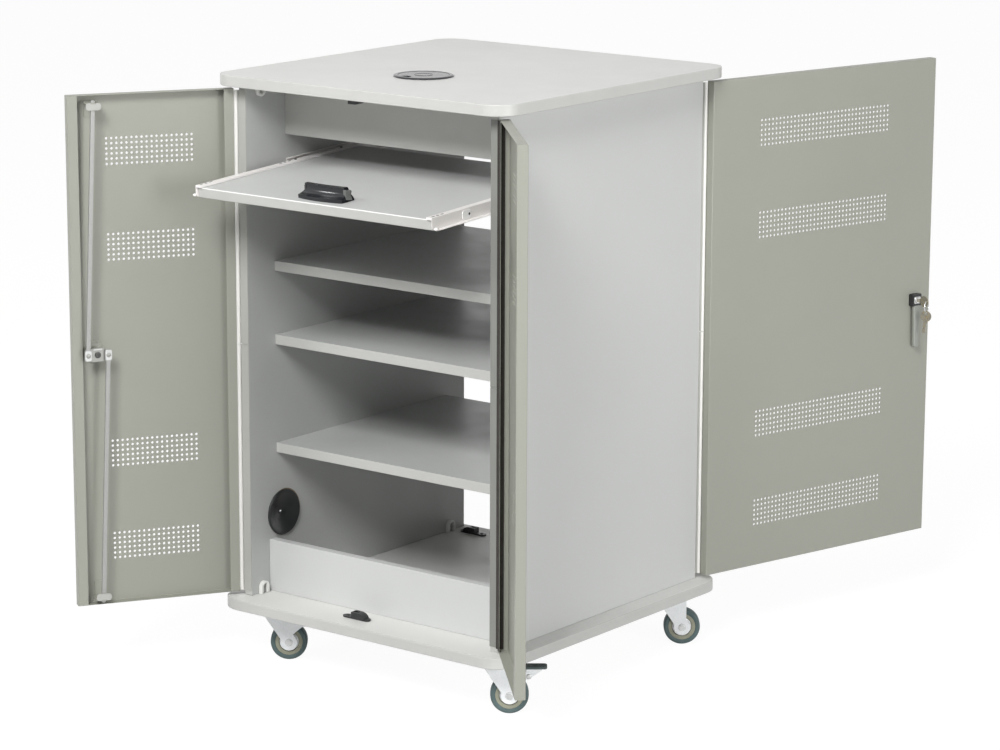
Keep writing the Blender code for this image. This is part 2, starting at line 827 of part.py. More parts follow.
def make_keepers():
    front_x = -PIN_X + LEFT_DOOR_REACH - LOCK_INSET
    rear_x = PIN_X - REAR_DOOR_REACH + LOCK_INSET
    front_y = -PIN_Y + ROD_STANDOFF
    low, high = BASE_TOP + SEAT_GAP, TABLE_BOTTOM - SEAT_GAP
    about = Matrix.Rotation(math.pi, 4, "Z")
    over = Matrix.Rotation(math.pi, 4, "X")
    make_keeper("front_lower_keeper", shift(front_x, front_y, low))
    make_keeper("front_upper_keeper", shift(front_x, front_y, high) @ over)
    make_keeper("rear_lower_keeper", shift(rear_x, -front_y, low) @ about)
    make_keeper("rear_upper_keeper", shift(rear_x, -front_y, high) @ over @ about)


def dome_outline():
    """Side of the keeper's block: upright at the slot and rounded down to the far end."""
    top = KEEPER_HEIGHT - SEAT_GAP
    root = KEEPER_PLATE_THICKNESS / 2
    reach, rise = KEEPER_BLOCK_END - KEEPER_BLOCK_FLAT, top - root
    outline = [(-KEEPER_BLOCK_BACK, root), (-KEEPER_BLOCK_BACK, top)]
    for along, up in arc((0, 0), 1, 90, 0, 6):
        outline.append((KEEPER_BLOCK_FLAT + along * reach, root + up * rise))
    return outline


def make_keeper(name, place):
    plate_outline = rounded_rectangle(
        KEEPER_PLATE_LENGTH, KEEPER_PLATE_WIDTH, KEEPER_PLATE_WIDTH / 2 - SEAT_GAP, 4
    )
    plate = prism(name, plate_outline, 0, KEEPER_PLATE_THICKNESS)
    half = KEEPER_BLOCK_WIDTH / 2
    raised = prism(f"{name}_block", dome_outline(), -half, half, FACING_OUT)
    slot = block(
        f"{name}_slot",
        (-ROD_WIDTH / 2 - ROD_SIDE_PLAY, ROD_WIDTH / 2 + ROD_SIDE_PLAY),
        (-ROD_THICKNESS / 2 - ROD_FACE_PLAY, ROD_THICKNESS / 2 + ROD_FACE_PLAY),
        (-OVERRUN, KEEPER_HEIGHT + OVERRUN),
    )
    join(plate, raised)
    cut(plate, slot)
    put(plate, BLACK_PLASTIC, place)


# Corner connectors: arched plastic blocks that tie the side panels to the boards

CONNECTOR_WIDTH = 0.028
CONNECTOR_HEIGHT = 0.027
CONNECTOR_THICKNESS = 0.011
CONNECTOR_HOLE = 0.0055
CONNECTOR_HOLE_HEIGHT = 0.0155
FRONT_CONNECTOR_SETBACK = 0.032
UPPER_CONNECTOR_SETBACK = 0.038
REAR_CONNECTOR_SETBACK = 0.027


def make_connector(name, side, y, base, up):
    half = CONNECTOR_WIDTH / 2
    shoulder = CONNECTOR_HEIGHT - half
    outline = [(half, 0)] + arc((0, shoulder), half, 0, 180, 8) + [(-half, 0)]
    outline = [(a, up * b) for a, b in outline]
    low, high = sorted((0, -side * CONNECTOR_THICKNESS))
    body = prism(name, outline, low, high)
    hole = cylinder(
        f"{name}_hole",
        CONNECTOR_HOLE,
        low - OVERRUN,
        high + OVERRUN,
        BARREL_STEPS,
        shift(0, up * CONNECTOR_HOLE_HEIGHT, 0),
    )
    cut(body, hole)
    # The prism's X runs along the wall, its Y up and its axis across the cabinet
    across = Matrix(((0, 0, 1, 0), (1, 0, 0, 0), (0, 1, 0, 0), (0, 0, 0, 1)))
    place = shift(side * (INNER_HALF - SEAT_GAP), y, base) @ across
    put(body, WHITE_PLASTIC, place)


def make_connectors():
    low, high = BASE_TOP + SEAT_GAP, TABLE_BOTTOM - SEAT_GAP
    front = FRONT_CONNECTOR_SETBACK - HALF_DEPTH
    upper = UPPER_CONNECTOR_SETBACK - HALF_DEPTH
    rear = HALF_DEPTH - REAR_CONNECTOR_SETBACK
    for side_name, side in (("left", -1), ("right", 1)):
        make_connector(f"front_{side_name}_lower_connector", side, front, low, 1)
        make_connector(f"front_{side_name}_upper_connector", side, upper, high, -1)
        make_connector(f"rear_{side_name}_lower_connector", side, rear, low, 1)


# Keyboard shelf, its pull and its slides, in a frame that slopes with the shelf.
# X runs across, Y up the slope from the front edge and Z square to the shelf's top.

KEYBOARD_LEVEL = BASE_TOP + KEYBOARD_TOP_SHARE * PANEL_HEIGHT
KEYBOARD = shift(0, -HALF_DEPTH - KEYBOARD_FRONT, KEYBOARD_LEVEL) @ Matrix.Rotation(
    KEYBOARD_SLOPE, 4, "X"
)
KEYBOARD_HALF = INNER_HALF - SLIDE_SPACE
SLIDE_METAL = 0.0012
DRAWER_SLIDE_RISE = 0.0046
DRAWER_SLIDE_SKIRT = 0.019
DRAWER_SLIDE_NOSE = 0.005
DRAWER_SLIDE_LAP = 0.010
CABINET_SLIDE_RISE = 0.0030
CABINET_SLIDE_LEDGE = 0.0055
CABINET_SLIDE_FLOOR = 0.0090
CABINET_SLIDE_START = 0.2724
CABINET_SLIDE_LENGTH = 0.472
GRIP_HALF_WIDTH = 0.052
GRIP_SETBACK = 0.016
GRIP_HEIGHT = 0.027
GRIP_DEPTH = 0.044
GRIP_BULGE = 0.006
GRIP_STATIONS = 8
# Depth and height shares of the pull's section, from the foot of its front lip round to its back
GRIP_SECTION_SHARES = (
    (0.02, 0.00),
    (0.00, 0.14),
    (0.19, 0.24),
    (0.36, 0.42),
    (0.43, 0.68),
    (0.39, 0.97),
    (0.55, 1.00),
    (0.70, 0.93),
    (0.86, 0.45),
    (1.00, 0.05),
    (1.00, 0.00),
)


def make_keyboard_shelf():
    half = KEYBOARD_HALF - SEAT_GAP
    shelf = block(
        "keyboard_shelf", (-half, half), (0, KEYBOARD_DEPTH), (-KEYBOARD_THICKNESS, 0)
    )
    put(shelf, GREY_BOARD, KEYBOARD, smooth=False)


def drawer_section():
    """Web on the shelf's edge, a flange over the shelf and a running flange at its foot."""
    web = KEYBOARD_HALF
    out = INNER_HALF - SLIDE_METAL - 2 * SEAT_GAP
    top = DRAWER_SLIDE_RISE
    foot = -DRAWER_SLIDE_SKIRT
    return [
        (web - DRAWER_SLIDE_LAP, top - SLIDE_METAL),
        (web, top - SLIDE_METAL),
        (web, foot),
        (out, foot),
        (out, foot + SLIDE_METAL),
        (web + SLIDE_METAL, foot + SLIDE_METAL),
        (web + SLIDE_METAL, top),
        (web - DRAWER_SLIDE_LAP, top),
    ]


def cabinet_section():
    """Channel on the side panel that embraces the drawer member."""
    wall = INNER_HALF - SEAT_GAP
    top = DRAWER_SLIDE_RISE + CABINET_SLIDE_RISE
    floor = -DRAWER_SLIDE_SKIRT - SLIDE_METAL
    return [
        (wall - CABINET_SLIDE_FLOOR, floor - SLIDE_METAL),
        (wall, floor - SLIDE_METAL),
        (wall, top),
        (wall - CABINET_SLIDE_LEDGE, top),
        (wall - CABINET_SLIDE_LEDGE, top - SLIDE_METAL),
        (wall - SLIDE_METAL, top - SLIDE_METAL),
        (wall - SLIDE_METAL, floor),
        (wall - CABINET_SLIDE_FLOOR, floor),
    ]


def make_slides():
    # A prism's axis turned to run up the slope, with its X kept and its Y upright
    up_slope = Matrix(((1, 0, 0, 0), (0, 0, 1, 0), (0, 1, 0, 0), (0, 0, 0, 1)))
    for label, side in (("left", -1), ("right", 1)):
        drawer = prism(
            f"{label}_drawer_slide",
            [(side * x, z) for x, z in drawer_section()],
            -DRAWER_SLIDE_NOSE,
            KEYBOARD_DEPTH - DRAWER_SLIDE_NOSE,
            up_slope,
        )
        put(drawer, WHITE_PAINT, KEYBOARD, smooth=False)
        cabinet = prism(
            f"{label}_cabinet_slide",
            [(side * x, z) for x, z in cabinet_section()],
            CABINET_SLIDE_START,
            CABINET_SLIDE_START + CABINET_SLIDE_LENGTH,
            up_slope,
        )
        put(cabinet, WHITE_PAINT, KEYBOARD, smooth=False)


def make_grip():
    """Moulded pull with a hollow front, lofted across with its lip bowed to the front."""
    work = bmesh.new()
    rows = []
    for i in range(GRIP_STATIONS + 1):
        share = 2 * i / GRIP_STATIONS - 1
        bow = GRIP_BULGE * share * share
        row = [
            work.verts.new(
                (share * GRIP_HALF_WIDTH, depth * (GRIP_DEPTH - bow) + bow, height * GRIP_HEIGHT)
            )
            for depth, height in GRIP_SECTION_SHARES
        ]
        rows.append(row)
    count = len(GRIP_SECTION_SHARES)
    for a, b in zip(rows, rows[1:]):
        for j in range(count):
            k = (j + 1) % count
            work.faces.new((a[j], b[j], b[k], a[k]))
    work.faces.new(rows[0])
    work.faces.new(rows[-1])
    grip = from_bmesh("keyboard_shelf_pull", work)
    put(grip, BLACK_PLASTIC, KEYBOARD @ shift(0, GRIP_SETBACK, SEAT_GAP))


# Casters: fixed plate with its race, swivelling fork, wheel and, at the front, a brake pedal

PLATE_SIZE = 0.062
PLATE_THICKNESS = 0.0025
RACE_RADIUS = 0.024
RACE_DEPTH = 0.007
KINGPIN = 0.006
KINGPIN_HEAD = 0.010
FORK_METAL = 0.0025
WHEEL_SIDE_GAP = 0.0018
HUB_RADIUS = 0.009
AXLE_RADIUS = 0.004
AXLE_HEAD = 0.0065
AXLE_END = 0.003
FORK_FOOT = 0.017
BRAKE_PIVOT_OUT = 0.037
BRAKE_PIVOT_UP = 0.039
BRAKE_PIN = 0.003
PEDAL_LENGTH = 0.045
PEDAL_THICKNESS = 0.005
PEDAL_RISE = 0.013
PEDAL_ARM_HEIGHT = 0.007
PEDAL_OVERLAP = 0.010
AXLE_HEIGHT = WHEEL_RADIUS * math.cos(math.pi / WHEEL_STEPS)
CROWN_TOP = CASTER_HEIGHT - SEAT_GAP - PLATE_THICKNESS - RACE_DEPTH - SEAT_GAP
CROWN_ABOVE_AXLE = CROWN_TOP - AXLE_HEIGHT
LEG_INNER = WHEEL_WIDTH / 2 + WHEEL_SIDE_GAP
# Rim, bead and tyre of the wheel as shares of its radius and half width
WHEEL_SHARES = (
    (0.24, 0.45),
    (0.50, 0.45),
    (0.54, 0.92),
    (0.86, 1.00),
    (1.00, 0.45),
)


def make_caster_plate(name, place):
    outline = rounded_rectangle(PLATE_SIZE, PLATE_SIZE, PLATE_SIZE / 10, 2)
    top = CASTER_HEIGHT - SEAT_GAP
    under = top - PLATE_THICKNESS
    race = under - RACE_DEPTH
    pin_low = race - SEAT_GAP - FORK_METAL - SEAT_GAP
    plate = prism(name, outline, under, top)
    work = bmesh.new()
    section = [
        (0, under + PLATE_THICKNESS / 2),
        (RACE_RADIUS - PLATE_THICKNESS, under + PLATE_THICKNESS / 2),
        (RACE_RADIUS, race + PLATE_THICKNESS),
        (RACE_RADIUS - PLATE_THICKNESS, race),
        (KINGPIN, race),
        (KINGPIN, pin_low),
        (KINGPIN_HEAD, pin_low),
        (KINGPIN_HEAD, pin_low - PLATE_THICKNESS),
        (0, pin_low - PLATE_THICKNESS),
    ]
    lathe(work, section, LOCK_STEPS)
    join(plate, from_bmesh(f"{name}_race", work))
    put(plate, ZINC, place)


def leg_outline(braked):
    """Side of the fork around the axle: X along the trail, Y up."""
    crown = CROWN_ABOVE_AXLE
    front = -CASTER_TRAIL - RACE_RADIUS
    rear = FORK_FOOT / 2
    foot = arc((0, 0), FORK_FOOT, 160, 380, 8)
    outline = [(front, crown), (front, crown - FORK_METAL)] + foot
    if braked:
        tab = BRAKE_PIN + FORK_METAL
        ear = arc((BRAKE_PIVOT_OUT, BRAKE_PIVOT_UP), tab, -70, 70, 4)
        outline += [(rear, FORK_FOOT), (HUB_RADIUS + FORK_FOOT, WHEEL_RADIUS - tab)]
        outline += ear
        outline += [(rear, crown)]
    else:
        outline += [(rear, FORK_FOOT), (rear, crown)]
    return outline


def make_fork(name, place, braked):
    """Pressed fork: a crown under the race, two legs and the axle through them."""
    crown_low = CROWN_ABOVE_AXLE - FORK_METAL
    outer = LEG_INNER + FORK_METAL
    front = -CASTER_TRAIL - RACE_RADIUS
    crown = block(
        name, (front, FORK_FOOT / 2 - SEAT_GAP), (-outer, outer), (crown_low, CROWN_ABOVE_AXLE)
    )
    sideways = Matrix.Rotation(math.radians(90), 4, "X")
    for label, low in (("near", LEG_INNER), ("far", -outer)):
        leg = prism(
            f"{name}_{label}_leg", leg_outline(braked), low, low + FORK_METAL, sideways
        )
        join(crown, leg)
    bore = cylinder(
        f"{name}_bore",
        KINGPIN + SEAT_GAP,
        crown_low - OVERRUN,
        CROWN_ABOVE_AXLE + OVERRUN,
        LOCK_STEPS,
        shift(-CASTER_TRAIL, 0, 0),
    )
    cut(crown, bore)
    axle = cylinder(f"{name}_axle", AXLE_RADIUS, -outer, outer, BARREL_STEPS, sideways)
    join(crown, axle)
    for label, low in (("near", outer - SEAT_GAP), ("far", -outer - AXLE_END + SEAT_GAP)):
        head = cylinder(
            f"{name}_{label}_head", AXLE_HEAD, low, low + AXLE_END, BARREL_STEPS, sideways
        )
        join(crown, head)
    if braked:
        pin_turn = shift(BRAKE_PIVOT_OUT, 0, BRAKE_PIVOT_UP) @ sideways
        pin = cylinder(f"{name}_brake_pin", BRAKE_PIN, -outer, outer, BARREL_STEPS, pin_turn)
        join(crown, pin)
    put(crown, ZINC, place @ shift(CASTER_TRAIL, 0, AXLE_HEIGHT))


def make_wheel(name, place):
    """Hub, web and tyre turned around the axle, standing on one flat of its rim."""
    half = WHEEL_WIDTH / 2
    rim = [(r * WHEEL_RADIUS, w * half) for r, w in WHEEL_SHARES]
    bore = AXLE_RADIUS + SEAT_GAP
    hub_end = LEG_INNER - SEAT_GAP
    right = [(bore, hub_end), (rim[0][0], hub_end)] + rim
    section = right + [(r, -w) for r, w in reversed(right)]
    sideways = Matrix.Rotation(math.radians(90), 4, "X")
    wheel = ring(name, section, WHEEL_STEPS, sideways, phase=0.5)
    put(wheel, TYRE_RUBBER, place @ shift(CASTER_TRAIL, 0, AXLE_HEIGHT))


def make_pedal(name, place):
    """Foot pad on two arms that turn on the brake pin between the fork's ears."""
    start = -PEDAL_OVERLAP
    half = LEG_INNER - SEAT_GAP
    pad = block(
        name,
        (start, start + PEDAL_LENGTH),
        (-half, half),
        (PEDAL_RISE, PEDAL_RISE + PEDAL_THICKNESS),
    )
    arm_inner = half - FORK_METAL
    eye = BRAKE_PIN + FORK_METAL
    top = PEDAL_RISE + FORK_METAL / 2
    reach = start + PEDAL_LENGTH - PEDAL_OVERLAP
    outline = [(start / 2, top)] + arc((0, 0), eye, 180, 330, 5)
    outline += [(reach, top - FORK_METAL), (reach, top)]
    sideways = Matrix.Rotation(math.radians(90), 4, "X")
    for label, low in (("near", arm_inner), ("far", -half)):
        arm = prism(f"{name}_{label}_arm", outline, low, low + FORK_METAL, sideways)
        join(pad, arm)
    hole = cylinder(
        f"{name}_hole", BRAKE_PIN + EYE_GAP, -half - OVERRUN, half + OVERRUN, BARREL_STEPS, sideways
    )
    cut(pad, hole)
    out = CASTER_TRAIL + BRAKE_PIVOT_OUT
    put(pad, PEDAL_PLASTIC, place @ shift(out, 0, AXLE_HEIGHT + BRAKE_PIVOT_UP))


def make_casters():
    x = HALF_WIDTH - CASTER_INSET_X
    y = HALF_DEPTH - CASTER_INSET_Y
    heading = Matrix.Rotation(CASTER_HEADING, 4, "Z")
    for label, sx, sy in (
        ("front_left", -1, -1),
        ("front_right", 1, -1),
        ("rear_left", -1, 1),
        ("rear_right", 1, 1),
    ):
        axis = shift(sx * x, sy * y, 0)
        braked = sy < 0
        make_caster_plate(f"{label}_caster_plate", axis)
        make_fork(f"{label}_fork", axis @ heading, braked)
        make_wheel(f"{label}_wheel", axis @ heading)
        if braked:
            make_pedal(f"{label}_brake_pedal", axis @ heading)


def main():
    clear_scene()
    make_boards()
    make_grommet()
    make_side_panels()
    make_vent_grommet()
    make_inner_boards()
    make_hinges()
    make_doors()
    make_locks()
    make_keepers()
    make_connectors()
    make_keyboard_shelf()
    make_slides()
    make_grip()
    make_casters()


main()
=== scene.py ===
"""Looks of the multimedia cart: a grey cabinet on casters with its perforated doors open."""

import json
import math

import bmesh
import bpy
from mathutils import Matrix, Vector


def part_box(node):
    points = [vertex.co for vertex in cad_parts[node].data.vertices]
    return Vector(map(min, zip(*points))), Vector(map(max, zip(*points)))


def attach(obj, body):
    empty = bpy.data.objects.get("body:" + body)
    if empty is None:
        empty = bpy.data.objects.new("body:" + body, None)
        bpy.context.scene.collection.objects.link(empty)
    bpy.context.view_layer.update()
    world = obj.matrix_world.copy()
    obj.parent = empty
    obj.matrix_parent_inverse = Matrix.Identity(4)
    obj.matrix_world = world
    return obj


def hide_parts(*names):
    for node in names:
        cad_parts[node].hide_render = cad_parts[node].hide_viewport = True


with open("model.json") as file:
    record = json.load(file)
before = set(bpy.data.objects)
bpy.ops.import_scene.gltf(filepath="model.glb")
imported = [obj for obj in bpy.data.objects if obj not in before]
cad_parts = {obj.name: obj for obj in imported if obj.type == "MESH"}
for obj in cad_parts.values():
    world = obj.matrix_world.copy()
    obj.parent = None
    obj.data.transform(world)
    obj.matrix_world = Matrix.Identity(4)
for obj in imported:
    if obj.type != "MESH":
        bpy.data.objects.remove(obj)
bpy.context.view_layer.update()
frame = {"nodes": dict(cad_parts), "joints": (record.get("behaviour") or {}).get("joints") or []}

JOINTS = {joint["name"]: joint for joint in frame["joints"]}
SEAT = 0.0003


# Shared directions and places


def shift(x, y, z):
    return Matrix.Translation(Vector((x, y, z)))


def turn(degrees, axis):
    return Matrix.Rotation(math.radians(degrees), 4, axis)


FACING_OUT = turn(90, "X")
ALONG_X = turn(90, "Y")
# Lays an outline that is drawn from the side, X to the rear and Y up, across the cart
SIDE_ON = Matrix(((0, 0, 1, 0), (1, 0, 0, 0), (0, 1, 0, 0), (0, 0, 0, 1)))


def joint_at(name):
    return Vector(JOINTS[name]["pos_m"])


def door_place(joint, opening, from_rear=False):
    """Frame on a hinge pin: X along the leaf, -Y out of its outer face."""
    pin = joint_at(joint)
    heading = 180.0 if from_rear else 0.0
    return shift(pin.x, pin.y, 0) @ turn(heading - opening, "Z")


LEFT_DOOR = door_place("left_door_hinge", 122.0)
RIGHT_DOOR = door_place("right_door_hinge", -133.5)
REAR_DOOR = door_place("rear_door_hinge", 104.3, from_rear=True)
LEFT_REACH, RIGHT_REACH, REAR_REACH = 0.335, 0.3095, 0.620
DOOR_START = 0.0038
DOOR_DEPTH = 0.020
HOLE_PITCH, HOLE_RADIUS, HOLE_ROWS = 0.010, 0.0025, 6
NEAR_FIELD, FAR_FIELD = 0.206, 0.394
LOCK_INSET = 0.047
MID_HEIGHT = joint_at("left_door_lock_turn").z
LEFT_LOCK = LEFT_DOOR @ shift(LEFT_REACH - LOCK_INSET, 0, MID_HEIGHT)
REAR_LOCK = REAR_DOOR @ shift(REAR_REACH - LOCK_INSET, 0, MID_HEIGHT)
LOCK_CROWN = DOOR_DEPTH + SEAT + 0.014
CAM_PIN_REACH = 0.020
KEYBOARD_SLOPE = 3.0
KEYBOARD_THICKNESS = 0.020
_slope = math.radians(KEYBOARD_SLOPE)
_shelf_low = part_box("keyboard_shelf")[0]
_shelf_top = _shelf_low.z + KEYBOARD_THICKNESS * math.cos(_slope)
KEYBOARD = shift(0, _shelf_low.y, _shelf_top) @ turn(KEYBOARD_SLOPE, "X")
CASTER_HEADING = math.degrees(math.atan2(0.61, 0.79))
WHEEL_RADIUS, WHEEL_HALF = 0.0375, 0.0125
# The fork's outer face, past the gap beside the wheel and the metal of the arm
FORK_FACE = WHEEL_HALF + 0.0018 + 0.0025


# Mesh tools


def new_object(name, data):
    item = bpy.data.objects.new(name, data)
    bpy.context.scene.collection.objects.link(item)
    return item


def to_object(name, work, place=None, sharp=35, flat=None):
    """A shaded mesh object from a bmesh, with its place in its mesh."""
    bmesh.ops.remove_doubles(work, verts=work.verts, dist=1e-6)
    work.normal_update()
    bmesh.ops.recalc_face_normals(work, faces=work.faces)
    work.normal_update()
    creases = rim_edges(work, flat) if flat is not None else []
    if place is not None:
        bmesh.ops.transform(work, matrix=place, verts=work.verts)
    mesh = bpy.data.meshes.new(name)
    work.to_mesh(mesh)
    work.free()
    return shaded(new_object(name, mesh), sharp, creases)


def rim_edges(work, facing):
    """Edges between a sheet that faces one way and the bends beside it."""
    work.edges.index_update()
    rim = []
    for edge in work.edges:
        level = [abs(face.normal.dot(facing)) > 0.9999 for face in edge.link_faces]
        if len(level) == 2 and level[0] != level[1]:
            rim.append(edge.index)
    return rim


def shaded(item, sharp=35, creases=()):
    """Smooth over bends and roundings, while the flat faces beside them stay flat."""
    item.data.shade_smooth()
    item.data.set_sharp_from_angle(angle=math.radians(sharp))
    for index in creases:
        item.data.edges[index].use_edge_sharp = True
    modifier = item.modifiers.new("flat faces", "WEIGHTED_NORMAL")
    modifier.keep_sharp = True
    return applied(item)


def applied(item):
    """The object's evaluated mesh in place of its own, with no modifier left."""
    graph = bpy.context.evaluated_depsgraph_get()
    graph.update()
    mesh = bpy.data.meshes.new_from_object(item.evaluated_get(graph))
    item.modifiers.clear()
    item.data = mesh
    return item


def dress(item, finish, body, *nodes):
    """Gives a piece its material, the body that it rides on and the nodes that it stands for."""
    finishes = finish if isinstance(finish, (list, tuple)) else [finish]
    slots = [face.material_index for face in item.data.polygons]
    item.data.materials.clear()
    for material in finishes:
        item.data.materials.append(material)
    last = len(finishes) - 1
    item.data.polygons.foreach_set("material_index", [min(slot, last) for slot in slots])
    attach(item, body)
    if nodes:
        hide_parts(*nodes)
    return item


def arc(centre, radius, start, end, steps):
    angles = [math.radians(start + (end - start) * i / steps) for i in range(steps + 1)]
    x, y = centre
    return [(x + radius * math.cos(a), y + radius * math.sin(a)) for a in angles]


def circle(radius, steps):
    angles = [2 * math.pi * i / steps for i in range(steps)]
    return [(radius * math.cos(a), radius * math.sin(a)) for a in angles]


def rectangle(low_x, low_y, high_x, high_y):
    return [(low_x, low_y), (high_x, low_y), (high_x, high_y), (low_x, high_y)]


def rounded_rectangle(width, depth, radius, steps=6):
    x, y = width / 2 - radius, depth / 2 - radius
    corners = ((x, y, 0), (-x, y, 90), (-x, -y, 180), (x, -y, 270))
    points = []
    for cx, cy, start in corners:
        points += arc((cx, cy), radius, start, start + 90, steps)
    return points


def add_prism(work, outline, low, high, place=None):
    floor = [work.verts.new((x, y, low)) for x, y in outline]
    roof = [work.verts.new((x, y, high)) for x, y in outline]
    work.faces.new(list(reversed(floor)))
    work.faces.new(roof)
    for i, corner in enumerate(floor):
        j = (i + 1) % len(floor)
        work.faces.new((corner, floor[j], roof[j], roof[i]))
    if place is not None:
        bmesh.ops.transform(work, matrix=place, verts=floor + roof)


def add_lathe(work, section, steps, place=None):
    """Revolves a section of radius and height about Z; a radius of zero closes it."""
    rows = []
    for r, h in section:
        if r == 0:
            rows.append([work.verts.new((0, 0, h))])
        else:
            rows.append([work.verts.new((x, y, h)) for x, y in circle(r, steps)])
    for a, b in zip(rows, rows[1:]):
        for i in range(steps):
            j = (i + 1) % steps
            ring = [a[i % len(a)], b[i % len(b)], b[j % len(b)], a[j % len(a)]]
            corners = [v for k, v in enumerate(ring) if v not in ring[:k]]
            work.faces.new(corners)
    if place is not None:
        bmesh.ops.transform(work, matrix=place, verts=[v for row in rows for v in row])


def closed(section):
    return section + [section[0]]


def round_edges(work, width, segments=2, angle=30):
    """Rounds every edge of the mesh that is sharper than the angle."""
    bmesh.ops.remove_doubles(work, verts=work.verts, dist=1e-6)
    limit = math.radians(angle)
    edges = [e for e in work.edges if len(e.link_faces) == 2 and e.calc_face_angle(0) > limit]
    bmesh.ops.bevel(
        work,
        geom=edges,
        offset=width,
        segments=segments,
        profile=0.5,
        affect="EDGES",
        clamp_overlap=True,
    )


def softened(name, node, width, segments=2, angle=30):
    """A copy of a CAD node with its flat faces whole again and its edges rounded."""
    work = bmesh.new()
    work.from_mesh(frame["nodes"][node].data)
    bmesh.ops.remove_doubles(work, verts=work.verts, dist=1e-5)
    bmesh.ops.dissolve_limit(
        work, angle_limit=math.radians(1), verts=work.verts, edges=work.edges
    )
    round_edges(work, width, segments, angle)
    return to_object(name, work)


def carve(item, *tools):
    """Cuts tool meshes out of a piece for good."""
    for tool in tools:
        modifier = item.modifiers.new("cut", "BOOLEAN")
        modifier.solver = "EXACT"
        modifier.object = tool
    applied(item)
    for tool in tools:
        bpy.data.objects.remove(tool)
    return shaded(item)


def lathed(name, section, steps, place=None, sharp=35):
    """A turned piece: its section revolved about Z."""
    work = bmesh.new()
    add_lathe(work, section, steps)
    return to_object(name, work, place, sharp)


def cut_out(name, outline, low, high, place=None, ease=None, sharp=35):
    """One outline between two levels; ease is the width, steps and least angle of its rounding."""
    work = bmesh.new()
    add_prism(work, outline, low, high)
    if ease is not None:
        round_edges(work, *ease)
    return to_object(name, work, place, sharp)


def cylinder(name, radius, low, high, place, steps=32):
    return cut_out(name, circle(radius, steps), low, high, place)


# Materials: each has its own colour drift, grain and relief, all read from object coordinates


class Finish:
    """Short hand for the nodes of one material."""

    def __init__(self, name, colour, roughness, metallic=0.0):
        self.material = bpy.data.materials.new(name)
        self.material.use_nodes = True
        self.tree = self.material.node_tree
        self.shader = self.tree.nodes["Principled BSDF"]
        self.shader.inputs["Base Color"].default_value = (*colour, 1)
        self.shader.inputs["Roughness"].default_value = roughness
        self.shader.inputs["Metallic"].default_value = metallic
        self.colour = colour
        self.place = self.tree.nodes.new("ShaderNodeTexCoord").outputs["Object"]
        self.height = None

    def node(self, kind, **values):
        node = self.tree.nodes.new(kind)
        for key, value in values.items():
            setattr(node, key, value)
        return node

    def link(self, source, target):
        self.tree.links.new(source, target)

    def noise(self, scale, detail=3.0, roughness=0.55, stretch=None):
        source = self.place
        if stretch is not None:
            mapping = self.node("ShaderNodeMapping")
            mapping.inputs["Scale"].default_value = stretch
            self.link(self.place, mapping.inputs["Vector"])
            source = mapping.outputs["Vector"]
        noise = self.node("ShaderNodeTexNoise")
        noise.inputs["Scale"].default_value = scale
        noise.inputs["Detail"].default_value = detail
        noise.inputs["Roughness"].default_value = roughness
        self.link(source, noise.inputs["Vector"])
        return noise.outputs["Fac"]

    def cells(self, scale, output="Distance", feature="F1"):
        cells = self.node("ShaderNodeTexVoronoi", feature=feature)
        cells.inputs["Scale"].default_value = scale
        self.link(self.place, cells.inputs["Vector"])
        return cells.outputs[output]

    def ranged(self, value, low, high, start=0.3, end=0.7):
        ranged = self.node("ShaderNodeMapRange")
        ranged.inputs["From Min"].default_value = start
        ranged.inputs["From Max"].default_value = end
        ranged.inputs["To Min"].default_value = low
        ranged.inputs["To Max"].default_value = high
        self.link(value, ranged.inputs["Value"])
        return ranged.outputs["Result"]

    def tint(self, value, low, high, start=0.3, end=0.7, other=None):
        """Mixes the colour with a darker or lighter one of the same hue where value is high."""
        base = self.shader.inputs["Base Color"]
        mix = self.node("ShaderNodeMix", data_type="RGBA")
        first = base.links[0].from_socket if base.links else None
        if first:
            self.link(first, mix.inputs["A"])
        else:
            mix.inputs["A"].default_value = (*self.colour, 1)
        changed = other or tuple(min(1.0, c * high) for c in self.colour)
        mix.inputs["B"].default_value = (*changed, 1)
        self.link(self.ranged(value, low, 1.0, start, end), mix.inputs["Factor"])
        self.link(mix.outputs["Result"], base)
        return self

    def gloss(self, value, low, high):
        self.link(self.ranged(value, low, high), self.shader.inputs["Roughness"])
        return self

    def relief(self, value, strength, depth):
        """Adds one more layer of bump under those made so far."""
        bump = self.node("ShaderNodeBump")
        bump.inputs["Strength"].default_value = strength
        bump.inputs["Distance"].default_value = depth
        self.link(value, bump.inputs["Height"])
        if self.height is not None:
            self.link(self.height, bump.inputs["Normal"])
        self.height = bump.outputs["Normal"]
        self.link(self.height, self.shader.inputs["Normal"])
        return self

    def clear(self, weight, roughness):
        self.shader.inputs["Coat Weight"].default_value = weight
        self.shader.inputs["Coat Roughness"].default_value = roughness
        return self


def board_laminate(name, colour):
    """Melamine face: soft pearl relief with a faint drift in tone."""
    roughness = 0.42
    finish = Finish(name, colour, roughness)
    finish.tint(finish.noise(2.2, 2), 0.0, 0.955, 0.35, 0.75)
    finish.tint(finish.noise(900, 2), 0.0, 0.93, 0.5, 1.1)
    finish.gloss(finish.noise(14, 4), roughness - 0.05, roughness + 0.06)
    finish.relief(finish.cells(620, "Distance", "SMOOTH_F1"), 0.10, 0.0002)
    finish.relief(finish.noise(1400, 2), 0.08, 0.0001)
    return finish.material


def edge_band(name, colour):
    """Plastic edging: glossier, with faint lines along the board."""
    finish = Finish(name, colour, 0.34)
    finish.tint(finish.noise(6, 3), 0.0, 0.94, 0.35, 0.8)
    finish.gloss(finish.noise(60, 3), 0.28, 0.4)
    finish.relief(finish.noise(700, 2, stretch=(0.05, 0.05, 1)), 0.10, 0.0001)
    return finish.material


